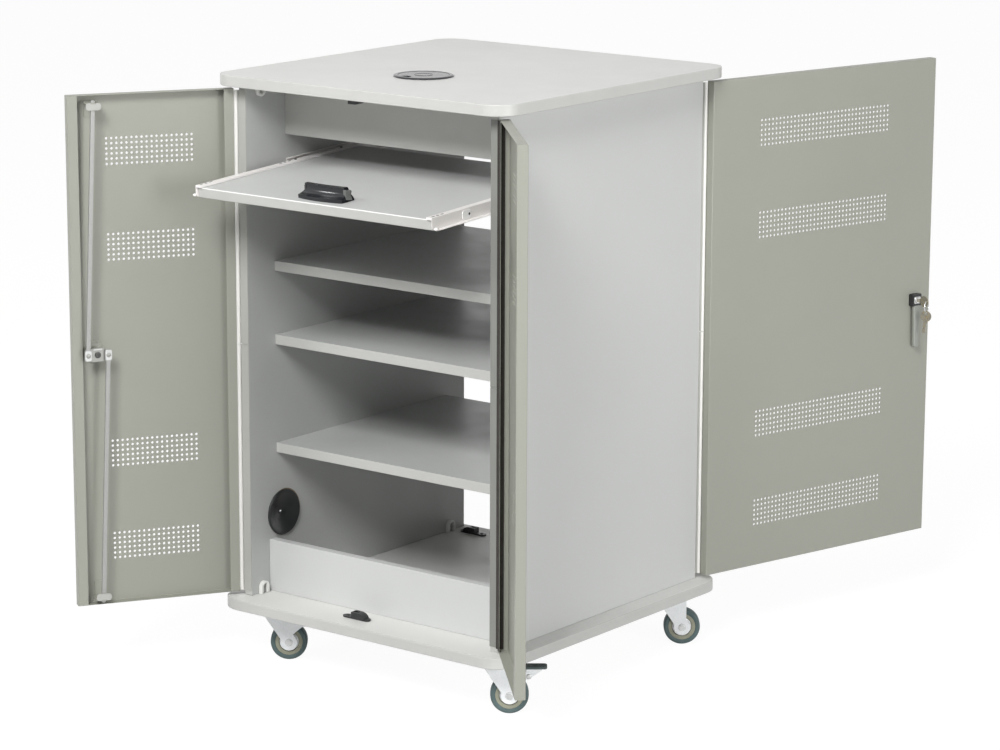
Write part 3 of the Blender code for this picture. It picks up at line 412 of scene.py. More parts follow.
def powder_enamel(name, colour, roughness=0.38):
    """Baked enamel on steel: orange peel under a thin gloss."""
    finish = Finish(name, colour, roughness)
    finish.tint(finish.noise(3, 3), 0.0, 0.95, 0.35, 0.8)
    finish.tint(finish.noise(1100, 2), 0.0, 1.06, 0.45, 1.0)
    finish.gloss(finish.noise(35, 4), roughness - 0.06, roughness + 0.05)
    finish.relief(finish.noise(520, 3, 0.6), 0.16, 0.0003)
    return finish.clear(0.12, 0.25).material


def zinc_plate(name, colour=(0.62, 0.63, 0.62), roughness=0.34, metallic=0.75):
    """Zinc plating: fine spangle, slightly dull patches and a satin sheen."""
    finish = Finish(name, colour, roughness, metallic)
    finish.tint(finish.cells(420, "Distance"), 0.0, 0.92, 0.2, 0.9)
    finish.tint(finish.noise(30, 3), 0.0, 0.90, 0.45, 0.85)
    finish.gloss(finish.noise(110, 4), roughness - 0.05, roughness + 0.09)
    finish.relief(finish.noise(900, 3), 0.06, 0.0001)
    return finish.material


def moulded_plastic(name, colour, roughness=0.42, grain=1500):
    """Spark-textured plastic with slightly shinier patches."""
    finish = Finish(name, colour, roughness)
    finish.tint(finish.noise(40, 3), 0.0, 1.18, 0.45, 0.8)
    finish.gloss(finish.noise(220, 4), roughness - 0.08, roughness + 0.08)
    finish.relief(finish.noise(grain, 3, 0.7), 0.12, 0.0001)
    return finish.material


def gloss_plastic(name, colour):
    """Smooth black moulding: shiny, with faint sink marks and hairline scuffs."""
    finish = Finish(name, colour, 0.16)
    finish.tint(finish.noise(30, 3), 0.0, 1.3, 0.45, 0.85)
    finish.gloss(finish.noise(130, 4), 0.12, 0.21)
    finish.relief(finish.noise(1800, 2), 0.02, 0.00003)
    return finish.material


def bright_chrome(name):
    """Polished plating with faint wipe marks along it."""
    roughness = 0.14
    finish = Finish(name, (0.78, 0.79, 0.80), roughness, 1.0)
    finish.gloss(finish.noise(120, 4), roughness - 0.05, roughness + 0.09)
    finish.tint(finish.noise(60, 3), 0.0, 0.90, 0.5, 0.85)
    finish.relief(finish.noise(400, 2, stretch=(1, 1, 0.1)), 0.04, 0.0001)
    return finish.material


def worn_brass(name):
    """Nickelled brass of the keys, with fine scratches and the brass showing through."""
    finish = Finish(name, (0.37, 0.35, 0.295), 0.34, 0.8)
    finish.tint(finish.noise(260, 4), 0.0, 1.0, 0.5, 0.75, other=(0.50, 0.38, 0.18))
    finish.gloss(finish.noise(700, 3, stretch=(1, 1, 0.15)), 0.2, 0.46)
    finish.relief(finish.noise(1300, 3, stretch=(1, 1, 0.2)), 0.18, 0.0001)
    return finish.material


def tyre_rubber(name, colour, roughness=0.62):
    """Grey rubber with a dusty bloom and a fine mould grain."""
    finish = Finish(name, colour, roughness)
    finish.tint(finish.noise(55, 4), 0.0, 1.25, 0.45, 0.85)
    finish.tint(finish.noise(500, 3), 0.0, 0.8, 0.55, 0.9)
    finish.gloss(finish.noise(90, 4), roughness - 0.1, roughness + 0.12)
    finish.relief(finish.noise(1600, 3), 0.2, 0.0002)
    return finish.material


def raw_chipboard(name):
    """Cut edge of the board, seen as a thin line beside the vent disc."""
    finish = Finish(name, (0.32, 0.22, 0.13), 0.85)
    finish.tint(finish.cells(900, "Distance"), 0.0, 0.5, 0.2, 0.9)
    finish.relief(finish.noise(1200, 4), 0.5, 0.0004)
    return finish.material


TOP_BOARD = board_laminate("tabletop_laminate", (0.735, 0.735, 0.715))
TOP_EDGE = edge_band("tabletop_edging", (0.57, 0.57, 0.55))
GREY_BOARD = board_laminate("carcass_laminate", (0.62, 0.63, 0.62))
# Darker copy of the carcass laminate for the cabinet's inside: painted shade
INNER_BOARD_PAINTED_SHADE = board_laminate("inner_laminate_painted_shade", (0.50, 0.51, 0.50))
# Light colour on the keyboard shelf's rounded front edge: a painted highlight
PAINTED_EDGE_HIGHLIGHT = edge_band("painted_edge_highlight", (0.86, 0.86, 0.84))
GREY_EDGE = edge_band("carcass_edging", (0.52, 0.52, 0.50))
LEAF_GREY = edge_band("hinge_leaf", (0.455, 0.455, 0.43))
# Darker leaf for the right front edge: painted shade
LEAF_PAINTED_SHADE = edge_band("hinge_leaf_painted_shade", (0.25, 0.255, 0.235))
# Dark brown: the hub's seam, and painted shade on the right front hinge barrel and inside the right
# door's hinged edge
DARK_JOINT_AND_PAINTED_SHADE = tyre_rubber("dark_joint_and_painted_shade", (0.030, 0.026, 0.022), 0.7)
DOOR_ENAMEL = powder_enamel("door_enamel", (0.325, 0.33, 0.285), 0.5)
HINGE_WHITE = powder_enamel("hinge_enamel", (0.84, 0.83, 0.80), 0.34)
# Whiter enamel for the slide's pressed boss: a painted highlight
BOSS_PAINTED_HIGHLIGHT = powder_enamel("slide_boss_painted_highlight", (0.97, 0.97, 0.975), 0.3)
SLIDE_WHITE = powder_enamel("slide_enamel", (0.93, 0.90, 0.885), 0.36)
ZINC = zinc_plate("zinc")
ROD_ZINC = zinc_plate("rod_zinc", (0.37, 0.37, 0.36), 0.42, 0.4)
WHITE_ZINC = zinc_plate("white_zinc", (0.92, 0.94, 0.95), 0.42, 0.25)
GREY_STEEL = zinc_plate("dull_steel", (0.36, 0.36, 0.34), 0.42)
CHROME = bright_chrome("chrome")
# Door-grey colour of the satin lever: a painted reflection of the door
LEVER_PAINTED_REFLECTION = powder_enamel("lever_painted_reflection", (0.30, 0.315, 0.285), 0.34)
# Dark steel of the cam screw, also painted shade in the slide fold's holes
DARK_SCREW_STEEL_AND_PAINTED_SHADE = zinc_plate("cam_screw_steel_and_painted_shade", (0.10, 0.10, 0.095), 0.4)
BLACK = moulded_plastic("black_plastic", (0.016, 0.017, 0.018), 0.38)
PULL_BLACK = gloss_plastic("pull_plastic", (0.012, 0.013, 0.016))
SHADE_BLACK = moulded_plastic("cheek_plastic", (0.14, 0.145, 0.14), 0.45)
WHITE_PLASTIC = moulded_plastic("white_plastic", (0.78, 0.78, 0.76), 0.42)
# Grey floor of the connectors' recesses: painted shade
RECESS_PAINTED_SHADE = moulded_plastic("recess_painted_shade", (0.34, 0.34, 0.33), 0.5)
PAD_PLASTIC = moulded_plastic("pedal_plastic", (0.072, 0.094, 0.092), 0.55, 1100)
TYRE = tyre_rubber("tyre_rubber", (0.080, 0.118, 0.118))
TYRE_CORE = tyre_rubber("tyre_core", (0.31, 0.31, 0.235), 0.5)
KEY_METAL = worn_brass("key_metal")
RAW_EDGE = raw_chipboard("raw_chipboard")


# Geometry Nodes trees


def new_tree(name, sockets):
    """A geometry tree with one named input per size and its first and last node."""
    tree = bpy.data.node_groups.new(name, "GeometryNodeTree")
    tree.interface.new_socket("Geometry", in_out="INPUT", socket_type="NodeSocketGeometry")
    for label, kind in sockets:
        tree.interface.new_socket(label, in_out="INPUT", socket_type=kind)
    tree.interface.new_socket("Geometry", in_out="OUTPUT", socket_type="NodeSocketGeometry")
    return tree, tree.nodes.new("NodeGroupInput"), tree.nodes.new("NodeGroupOutput")


def feed(tree, socket, value):
    """Links a socket to another, or sets it to a plain value."""
    if isinstance(value, bpy.types.NodeSocket):
        tree.links.new(value, socket)
    else:
        socket.default_value = value


def tree_node(tree, kind, **links):
    node = tree.nodes.new(kind)
    for key, value in links.items():
        label = key.replace("_", " ")
        feed(tree, next(s for s in node.inputs if s.name.lower() == label.lower()), value)
    return node


def tree_math(tree, operation, a, b):
    node = tree.nodes.new("ShaderNodeMath")
    node.operation = operation
    for socket, value in zip(node.inputs, (a, b)):
        feed(tree, socket, value)
    return node.outputs[0]


def grown(name, tree, base=None, **values):
    """Runs a tree on a mesh and returns the plain mesh that it makes."""
    item = new_object(name, base or bpy.data.meshes.new(name))
    modifier = item.modifiers.new(tree.name, "NODES")
    modifier.node_group = tree
    sockets = {
        s.name: s.identifier
        for s in tree.interface.items_tree
        if s.item_type == "SOCKET" and s.in_out == "INPUT"
    }
    for label, value in values.items():
        modifier[sockets[label.replace("_", " ")]] = value
    return applied(item)


FLOAT, INT, MATERIAL = "NodeSocketFloat", "NodeSocketInt", "NodeSocketMaterial"


def end_tree(tree, geometry, given, last):
    """The last steps of every tree: real geometry with its material set."""
    real = tree_node(tree, "GeometryNodeRealizeInstances", Geometry=geometry)
    painted = tree_node(
        tree,
        "GeometryNodeSetMaterial",
        Geometry=real.outputs["Geometry"],
        Material=given["Material"],
    )
    tree.links.new(painted.outputs["Geometry"], last.inputs[0])
    return tree


def perforated_sheet_tree():
    """A flat sheet with four fields of round holes, two above and two below its middle."""
    tree, first, last = new_tree(
        "perforated sheet",
        [
            ("Width", FLOAT),
            ("Height", FLOAT),
            ("Thickness", FLOAT),
            ("Pitch", FLOAT),
            ("Hole radius", FLOAT),
            ("Columns", INT),
            ("Rows", INT),
            ("Field centre", FLOAT),
            ("Near field", FLOAT),
            ("Far field", FLOAT),
            ("Material", MATERIAL),
        ],
    )
    given = first.outputs
    across = tree_math(tree, "SUBTRACT", given["Columns"], 1)
    up = tree_math(tree, "SUBTRACT", given["Rows"], 1)
    grid = tree_node(
        tree,
        "GeometryNodeMeshGrid",
        Size_X=tree_math(tree, "MULTIPLY", across, given["Pitch"]),
        Size_Y=tree_math(tree, "MULTIPLY", up, given["Pitch"]),
        Vertices_X=given["Columns"],
        Vertices_Y=given["Rows"],
    )
    hole = tree_node(
        tree, "GeometryNodeCurvePrimitiveCircle", Resolution=12, Radius=given["Hole radius"]
    )
    field = tree_node(
        tree,
        "GeometryNodeInstanceOnPoints",
        Points=grid.outputs["Mesh"],
        Instance=hole.outputs["Curve"],
    )
    edge = tree_node(
        tree,
        "GeometryNodeCurvePrimitiveQuadrilateral",
        Width=given["Width"],
        Height=given["Height"],
    )
    curves = tree.nodes.new("GeometryNodeJoinGeometry")
    tree.links.new(edge.outputs["Curve"], curves.inputs[0])
    for label, sign in (("Near field", 1), ("Near field", -1), ("Far field", 1), ("Far field", -1)):
        level = tree_math(tree, "MULTIPLY", given[label], sign)
        place = tree_node(tree, "ShaderNodeCombineXYZ", X=given["Field centre"], Y=level)
        moved = tree_node(
            tree,
            "GeometryNodeTransform",
            Geometry=field.outputs["Instances"],
            Translation=place.outputs["Vector"],
        )
        tree.links.new(moved.outputs["Geometry"], curves.inputs[0])
    solid = tree_node(tree, "GeometryNodeRealizeInstances", Geometry=curves.outputs[0])
    sheet = tree_node(tree, "GeometryNodeFillCurve", Curve=solid.outputs["Geometry"])
    raised = tree_node(
        tree,
        "GeometryNodeExtrudeMesh",
        Mesh=sheet.outputs["Mesh"],
        Offset_Scale=given["Thickness"],
        Individual=False,
    )
    under = tree_node(tree, "GeometryNodeFlipFaces", Mesh=sheet.outputs["Mesh"])
    both = tree.nodes.new("GeometryNodeJoinGeometry")
    tree.links.new(raised.outputs["Mesh"], both.inputs[0])
    tree.links.new(under.outputs["Mesh"], both.inputs[0])
    welded = tree_node(
        tree, "GeometryNodeMergeByDistance", Geometry=both.outputs[0], Distance=0.00001
    )
    return end_tree(tree, welded.outputs["Geometry"], given, last)


def fastener_tree():
    """One head on every point of a mesh, turned to the point's own direction."""
    tree, first, last = new_tree(
        "fasteners",
        [
            ("Head", "NodeSocketObject"),
            ("Size", FLOAT),
            ("Material", MATERIAL),
        ],
    )
    given = first.outputs
    head = tree_node(tree, "GeometryNodeObjectInfo", Object=given["Head"])
    facing = tree.nodes.new("GeometryNodeInputNamedAttribute")
    facing.data_type = "FLOAT_VECTOR"
    facing.inputs["Name"].default_value = "facing"
    align = tree.nodes.new("FunctionNodeAlignRotationToVector")
    align.axis = "Z"
    tree.links.new(facing.outputs["Attribute"], align.inputs["Vector"])
    spread = tree_node(
        tree,
        "GeometryNodeInstanceOnPoints",
        Points=given["Geometry"],
        Instance=head.outputs["Geometry"],
        Rotation=align.outputs["Rotation"],
        Scale=given["Size"],
    )
    return end_tree(tree, spread.outputs["Instances"], given, last)


def rib_tree():
    """A row of equal ribs along X, centred on the origin."""
    tree, first, last = new_tree(
        "ribs",
        [
            ("Count", INT),
            ("Pitch", FLOAT),
            ("Rib size", "NodeSocketVector"),
            ("Material", MATERIAL),
        ],
    )
    given = first.outputs
    gaps = tree_math(tree, "SUBTRACT", given["Count"], 1)
    span = tree_math(tree, "MULTIPLY", gaps, given["Pitch"])
    start = tree_node(
        tree, "ShaderNodeCombineXYZ", X=tree_math(tree, "MULTIPLY", span, -0.5)
    )
    step = tree_node(tree, "ShaderNodeCombineXYZ", X=given["Pitch"])
    row = tree_node(
        tree,
        "GeometryNodeMeshLine",
        Count=given["Count"],
        Start_Location=start.outputs["Vector"],
        Offset=step.outputs["Vector"],
    )
    rib = tree_node(tree, "GeometryNodeMeshCube", Size=given["Rib size"])
    spread = tree_node(
        tree,
        "GeometryNodeInstanceOnPoints",
        Points=row.outputs["Mesh"],
        Instance=rib.outputs["Mesh"],
    )
    return end_tree(tree, spread.outputs["Instances"], given, last)


SHEET_TREE = perforated_sheet_tree()
FASTENER_TREE = fastener_tree()
RIB_TREE = rib_tree()


# Screw heads: one domed head with a cross recess, placed by the fastener tree


def make_screw_head():
    """Head of unit radius with its seat at zero."""
    seat, brim, dome, crown = -0.1, 0.12, 0.33, 0.46
    section = [(0, seat), (1, seat), (1, brim)]
    section += [(math.cos(a) ** 0.5, brim + dome * math.sin(a)) for a in (0.5, 0.9, 1.25)]
    head = lathed("screw_head", section + [(0, crown)], 20)
    reach, half, floor = 0.55, 0.1, 0.16
    bars = (rectangle(-reach, -half, reach, half), rectangle(-half, -reach, half, reach))
    return carve(head, *[cut_out("recess", bar, floor, 1) for bar in bars])


SCREW_HEAD = make_screw_head()


def screws(name, spots, radius, finish, body):
    """Screws at spots given as a point and the direction that the head faces."""
    mesh = bpy.data.meshes.new(name)
    mesh.from_pydata([tuple(point) for point, _ in spots], [], [])
    facing = mesh.attributes.new("facing", "FLOAT_VECTOR", "POINT")
    facing.data.foreach_set("vector", [c for _, way in spots for c in way])
    item = grown(
        name, FASTENER_TREE, mesh, Head=SCREW_HEAD, Size=radius, Material=finish
    )
    item.data.set_sharp_from_angle(angle=math.radians(35))
    return dress(item, finish, body)


# Boards


def ring_board(name, low, high, hole=None):
    """A board with round corners, eased edges and, if asked, one round hole."""
    box_low, box_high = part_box(name)
    width, depth = box_high.x - box_low.x, box_high.y - box_low.y
    radius, ease, steps, hole_steps = 0.050, 0.0016, 20, 48
    profile = [(ease, low)]
    profile += [(ease - x, z) for x, z in arc((0, low + ease), ease, 270, 360, 4)[1:]]
    profile += [(ease - x, z) for x, z in arc((0, high - ease), ease, 0, 90, 4)]
    work = bmesh.new()
    loops = []
    for inset, z in profile:
        outline = rounded_rectangle(
            width - 2 * inset, depth - 2 * inset, radius - inset, steps
        )
        loops.append([work.verts.new((x, y, z)) for x, y in outline])
    count = len(loops[0])
    for a, b in zip(loops, loops[1:]):
        for i in range(count):
            j = (i + 1) % count
            face = work.faces.new((a[i], a[j], b[j], b[i]))
            face.material_index = 1
    if hole is None:
        work.faces.new(list(reversed(loops[0])))
        work.faces.new(loops[-1])
    else:
        centre, hole_radius = hole
        for loop in (loops[0], loops[-1]):
            z = loop[0].co.z
            inner = [
                work.verts.new((centre.x + x, centre.y + y, z))
                for x, y in circle(hole_radius, hole_steps)
            ]
            edges = [work.edges.get((loop[i - 1], loop[i])) for i in range(count)]
            edges = [e for e in edges if e is not None]
            edges += [work.edges.new((inner[i - 1], inner[i])) for i in range(hole_steps)]
            bmesh.ops.triangle_fill(work, use_beauty=True, edges=edges)
            if loop is loops[0]:
                under = inner
        for i in range(hole_steps):
            j = (i + 1) % hole_steps
            work.faces.new((under[i], under[j], inner[j], inner[i]))
    return to_object(f"{name}_board", work, sharp=40)


def make_top_and_base():
    holes = {"tabletop": (joint_at("grommet_cap_turn"), 0.0523), "base_board": None}
    for name, hole in holes.items():
        low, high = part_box(name)
        board = ring_board(name, low.z, high.z, hole)
        dress(board, [TOP_BOARD, TOP_EDGE], "cabinet", name)


def eased_board(name, outer=None):
    """A plain board on its CAD box: eased edges, edging on its ends along Y, and an outer face."""
    low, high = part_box(name)
    ease = 0.0009
    work = bmesh.new()
    add_prism(work, rectangle(low.x, low.y, high.x, high.y), low.z, high.z)
    round_edges(work, ease, 2)
    work.normal_update()
    for face in work.faces:
        if abs(face.normal.y) > 0.5:
            face.material_index = 1
        elif outer is not None and face.normal.dot(outer) > 0.5:
            face.material_index = 2
    return to_object(f"{name}_board", work)


def make_carcass():
    """Shelves, rail, kick panel and side panels; the left panel has the vent's hole."""
    # Shelves, rail and the panels' inner faces take a darker copy of the carcass laminate: painted
    # shade inside the cabinet
    finishes = [INNER_BOARD_PAINTED_SHADE, GREY_EDGE, GREY_BOARD]
    for name in ("shelf_1", "shelf_2", "shelf_3", "upper_rail"):
        dress(eased_board(name), finishes[:2], "cabinet", name)
    dress(eased_board("kick_panel"), [GREY_BOARD, GREY_BOARD], "cabinet", "kick_panel")
    right = eased_board("right_side_panel", Vector((1, 0, 0)))
    dress(right, finishes, "cabinet", "right_side_panel")
    left = eased_board("left_side_panel", Vector((-1, 0, 0)))
    vent_low, vent_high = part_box("side_grommet")
    panel_low, panel_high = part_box("left_side_panel")
    centre = (vent_low + vent_high) / 2
    radius, overrun = 0.0403, 0.01
    place = shift(0, centre.y, centre.z) @ ALONG_X
    hole = cylinder("panel_hole", radius, panel_low.x - overrun, panel_high.x + overrun, place, 48)
    dress(carve(left, hole), finishes, "cabinet", "left_side_panel")


def make_keyboard_shelf():
    low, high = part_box("keyboard_shelf")
    half, ease = high.x, 0.0018
    depth = (high.y - low.y - KEYBOARD_THICKNESS * math.sin(_slope)) / math.cos(_slope)
    work = bmesh.new()
    add_prism(work, rectangle(-half, 0, half, depth), -KEYBOARD_THICKNESS, 0)
    round_edges(work, ease, 3)
    work.normal_update()
    for face in work.faces:
        if abs(face.normal.y) > 0.5:
            face.material_index = 1
        # The rounding between the top and the front takes a near-white colour: a painted highlight
        if face.normal.y < -0.2 and face.normal.z > 0.2:
            face.material_index = 2
    item = to_object("keyboard_shelf_board", work, KEYBOARD)
    dress(item, [GREY_BOARD, GREY_EDGE, PAINTED_EDGE_HIGHLIGHT], "keyboard_tray", "keyboard_shelf")


# Hinges: a barrel and a leaf in two lengths on each hung edge


def make_hinges():
    """White barrels and grey leaves, but on the right front edge the barrel and leaf are dark:
    painted shade.
    """
    pin_x, pin_y, radius, gap = 0.324, 0.3345, 0.0035, 0.0006
    metal, reach, set_back = 0.0012, 0.022, 0.0042
    for name in ("front_left_hinge", "front_right_hinge", "rear_right_hinge"):
        low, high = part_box(name)
        middle = (low.z + high.z) / 2
        side = 1 if high.x > 0 else -1
        end = 1 if high.y > 0 else -1
        pin = Vector((side * pin_x, end * pin_y))
        near = pin.y - end * (set_back - metal)
        far, foot = near - end * metal, pin.x - side * reach
        leaf = [(pin.x, near), (foot, near), (foot, far), (pin.x, far)]
        barrel, leaves = bmesh.new(), bmesh.new()
        for z0, z1 in ((low.z, middle - gap), (middle + gap, high.z)):
            add_prism(barrel, circle(radius, 28), z0, z1, shift(pin.x, pin.y, 0))
            add_prism(leaves, leaf, z0, z1)
        # The right front edge lies in shade, so its barrel and leaf are coloured dark: painted
        # shade
        painted_shade_side = name == "front_right_hinge"
        barrel_finish = DARK_JOINT_AND_PAINTED_SHADE if painted_shade_side else HINGE_WHITE
        dress(to_object(f"{name}_barrel", barrel), barrel_finish, "cabinet", name)
        leaf_finish = LEAF_PAINTED_SHADE if painted_shade_side else LEAF_GREY
        dress(to_object(f"{name}_leaf", leaves), leaf_finish, "cabinet")


# Doors


def door_pan(name, place, sign, reach, columns, field_centre, body):
    """Perforated sheet with four bent edges, and a return lip along each upright edge."""
    low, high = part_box(body)
    start, inset = DOOR_START, 0.006
    metal, bend, lip = 0.001, 0.0018, 0.020
    depth = DOOR_DEPTH
    turned = (bend, depth - bend)
    profile = [(inset, depth)]
    profile += arc(turned, bend, 90, 180, 4)
    profile += arc((metal, metal), metal, 180, 270, 3)
    profile += arc(turned, bend - metal, 180, 90, 3)
    profile += [(inset, depth - metal)]
    work = bmesh.new()
    loops = []
    for edge, out in profile:
        corners = (
            (start + edge, low.z + edge),
            (reach - edge, low.z + edge),
            (reach - edge, high.z - edge),
            (start + edge, high.z - edge),
        )
        loops.append([work.verts.new((sign * u, -out, z)) for u, z in corners])
    for a, b in zip(loops, loops[1:]):
        for i in range(4):
            j = (i + 1) % 4
            work.faces.new((a[i], a[j], b[j], b[i]))
    centre = (start + reach) / 2
    sheet = grown(
        f"{name}_sheet",
        SHEET_TREE,
        Width=reach - start - 2 * inset,
        Height=high.z - low.z - 2 * inset,
        Thickness=metal,
        Pitch=HOLE_PITCH,
        Hole_radius=HOLE_RADIUS,
        Columns=columns,
        Rows=HOLE_ROWS,
        Field_centre=sign * (field_centre - centre),
        Near_field=NEAR_FIELD,
        Far_field=FAR_FIELD,
        Material=DOOR_ENAMEL,
    )
    middle = Vector((sign * centre, 0, (low.z + high.z) / 2))
    sheet.data.transform(shift(middle.x, metal - depth, middle.z) @ FACING_OUT)
    skirt = set(work.faces)
    work.from_mesh(sheet.data)
    bpy.data.objects.remove(sheet)
    # The sheet's own outer walls would lie hidden inside the seam with the bent edges
    half_width, half_height = (reach - start) / 2 - inset, (high.z - low.z) / 2 - inset
    walls, near = [], 5e-5
    for face in work.faces:
        face.material_index = 0
        spot = face.calc_center_median() - middle
        at_side = abs(abs(spot.x) - half_width) < near
        at_end = abs(abs(spot.z) - half_height) < near
        if face not in skirt and (at_side or at_end):
            walls.append(face)
    bmesh.ops.delete(work, geom=walls, context="FACES_ONLY")
    bmesh.ops.remove_doubles(work, verts=work.verts, dist=2e-5)
    skin = to_object(name, work, place, 30, Vector((0, 1, 0)))
    dress(skin, DOOR_ENAMEL, body, body)

    lips = bmesh.new()
    for edge, far in ((start + metal, start + lip), (reach - lip, reach - metal)):
        outline = [(sign * edge, 0), (sign * far, 0), (sign * far, -metal), (sign * edge, -metal)]
        add_prism(lips, outline, low.z + metal, high.z - metal)
    round_edges(lips, 0.0002, 1, 60)
    dress(to_object(f"{name}_lips", lips, place), DOOR_ENAMEL, body)


def make_door_painted_shade():
    """Painted shade: a dark strip inside the right door's hinged edge, and a dark cover on the lip
    beside it.
    """
    low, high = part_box("right_front_door")
    start, end = -DOOR_START - 0.0011, -DOOR_START - 0.0026
    strip = [(start, -0.0012), (end, -0.0012), (end, -0.0105), (start, -0.0105)]
    cover = [(-DOOR_START, 0.0001), (-DOOR_START, 0.0009), (-0.0242, 0.0009), (-0.0242, 0.0001)]
    short = 0.004
    work = bmesh.new()
    for part in (strip, cover):
        add_prism(work, part, low.z + short, high.z - short)
    round_edges(work, 0.0003, 2, 60)
    dress(to_object("right_door_seal", work, RIGHT_DOOR), DARK_JOINT_AND_PAINTED_SHADE, "right_front_door")


def make_doors():
    for name, place, sign, reach, columns, field_centre, body in (
        ("left_door_pan", LEFT_DOOR, 1, LEFT_REACH, 18, 0.1697, "left_front_door"),
        ("right_door_pan", RIGHT_DOOR, -1, RIGHT_REACH, 18, 0.1566, "right_front_door"),
        ("rear_door_pan", REAR_DOOR, 1, REAR_REACH, 36, 0.3084, "rear_door"),
    ):
        door_pan(name, place, sign, reach, columns, field_centre, body)
    make_door_painted_shade()
    make_lock_boss("left_door", LEFT_LOCK, "left_front_door")
    make_lock_boss("rear_door", REAR_LOCK, "rear_door")


def make_lock_boss(name, lock, body):
    """Stepped rings pressed round the lock, and the lock's barrel."""
    inside = DOOR_DEPTH - 0.001
    barrel, bore, end = 0.0125, 0.0063, -0.0077
    section = [
        (bore, inside - 0.0002),
        (0.0225, inside - 0.0002),
        (0.0223, inside - 0.0011),
        (0.0212, inside - 0.0018),
        (0.0186, inside - 0.0020),
        (0.0180, inside - 0.0030),
        (0.0166, inside - 0.0036),
        (0.0150, inside - 0.0038),
        (0.0145, inside - 0.0046),
        (barrel, inside - 0.0050),
        (barrel, end + 0.0007),
        (barrel - 0.0007, end),
        (bore, end),
    ]
    boss = lathed(f"{name}_lock_boss", closed(section), 56, lock @ FACING_OUT, 25)
    dress(boss, DOOR_ENAMEL, body)


# Locks: heights run out of the door from its inner plane, so those inside it are below zero


def make_lock(name, lock, body, keyed):
    """Outside head and lever; inside, the cam with its tab, screw and two pins."""
    outer, crown = DOOR_DEPTH + SEAT, LOCK_CROWN
    place = lock @ FACING_OUT
    outline = rounded_rectangle(0.026, 0.026, 0.003, 3)
    housing = cut_out(f"{name}_lock_housing", outline, outer, crown - 0.002, place, (0.0009, 2, 60))
    dress(housing, BLACK, body, f"{name}_lever")
    outline = rounded_rectangle(0.0180, 0.0150, 0.0028, 3)
    block = cut_out(f"{name}_lock_block", outline, crown - 0.004, crown, place, (0.0011, 3, 60))
    if keyed:
        block = carve(block, cylinder("socket", 0.0068, crown - 0.0035, crown + 0.01, place))
    dress(block, ZINC, body)
    if not keyed:
        make_keyway(f"{name}_keyway", place, body)

    half, tip, length, start = 0.0090, 0.0065, 0.102, -0.0115
    outline = [(half, start), (-half, start)] + arc((0, tip - length), tip, 180, 360, 14)
    levels = (crown - 0.0083, crown - 0.0003)
    handle = cut_out(f"{name}_handle", outline, *levels, place, (0.0026, 4, 50), 50)
    # The satin metal lever is coloured like the door that it reflects: a painted reflection
    dress(handle, LEVER_PAINTED_REFLECTION, body)
    radius, foot = 0.0058, -0.011
    section = [(0, foot), (radius, foot), (radius, outer), (0, outer)]
    dress(lathed(f"{name}_spindle", section, 32, place), GREY_STEEL, body)
    make_cam(name, lock, body)


def make_cam(name, lock, body):
    """Cam plate with its bent tab, the screw that holds it and the pins of the two rods."""
    place = lock @ FACING_OUT
    cam = bmesh.new()
    add_prism(cam, rounded_rectangle(0.050, 0.022, 0.006, 5), -0.0108, -0.0084)
    add_prism(cam, rounded_rectangle(0.026, 0.027, 0.002, 3), -0.0111, -0.0082)
    round_edges(cam, 0.0004, 2, 60)
    dress(to_object(f"{name}_cam", cam, place), GREY_STEEL, body)

    bend, reach, half = 0.0012, 0.0132, 0.0085
    bent = [(0.0095, -0.0110), (reach, -0.0110)]
    bent += [(reach - bend + x, -0.0122 - z) for x, z in arc((0, 0), bend, 0, 60, 3)]
    bent += [(0.0125, -0.0143), (0.0109, -0.0143), (0.0113, -0.0125), (0.0095, -0.0120)]
    along = Matrix(((0, 0, 1, 0), (0, -1, 0, 0), (1, 0, 0, 0), (0, 0, 0, 1)))
    tab = bmesh.new()
    add_prism(tab, bent, -half, half, along)
    dress(to_object(f"{name}_cam_tab", tab, lock), ZINC, body)

    section = [(0, -0.0116), (0.0062, -0.0116), (0.0062, -0.0124), (0.0052, -0.0126)]
    section += [(0.0052, -0.0142), (0.0046, -0.0147), (0.0030, -0.0147), (0.0028, -0.0128)]
    section += [(0, -0.0128)]
    dress(lathed(f"{name}_cam_screw", section, 36, place, 30), DARK_SCREW_STEEL_AND_PAINTED_SHADE, body)

    section = [(0, -0.0100), (0.0025, -0.0100), (0.0025, -0.0177), (0.0042, -0.0177)]
    section += [(0.0040, -0.0186), (0.0028, -0.0192), (0.0012, -0.0193), (0.0010, -0.0187)]
    section += [(0, -0.0187)]
    pins = bmesh.new()
    for side in (-1, 1):
        add_lathe(pins, section, 28, shift(side * CAM_PIN_REACH, 0, 0))
    dress(to_object(f"{name}_cam_pins", pins, place, 30), GREY_STEEL, body)


def make_keyway(name, place, body):
    """Cylinder face with its slot, where no key is in the lock."""
    crown, radius, half, reach = LOCK_CROWN, 0.0062, 0.0008, 0.0042
    section = [(0, crown - 0.001), (radius, crown - 0.001), (radius, crown + 0.0008)]
    section += [(0.0056, crown + 0.0013), (0, crown + 0.0013)]
    slot = cut_out("slot", rectangle(-half, -reach, half, reach), crown, crown + 0.01, place)
    dress(carve(lathed(name, section, 32, place), slot), CHROME, body)


def key_outline():
    """Side of a key: X to its bow, Y across; the blade's end is at zero."""
    bow = arc((0.0365, 0), 0.0118, -155, 155, 22)
    blade = [(0.0235, 0.0040), (0.0200, 0.0040)]
    teeth = [0.0034, 0.0022, 0.0031, 0.0018, 0.0029, 0.0023, 0.0034]
    blade += [(0.0190 - 0.0026 * i, depth) for i, depth in enumerate(teeth)]
    blade += [(0.0012, 0.0020), (0, 0), (0.0012, -0.0034), (0.0200, -0.0036), (0.0235, -0.0040)]
    return bow + blade


KEY_HALF, KEY_EYE, KEY_EYE_RADIUS = 0.0010, 0.0430, 0.0028


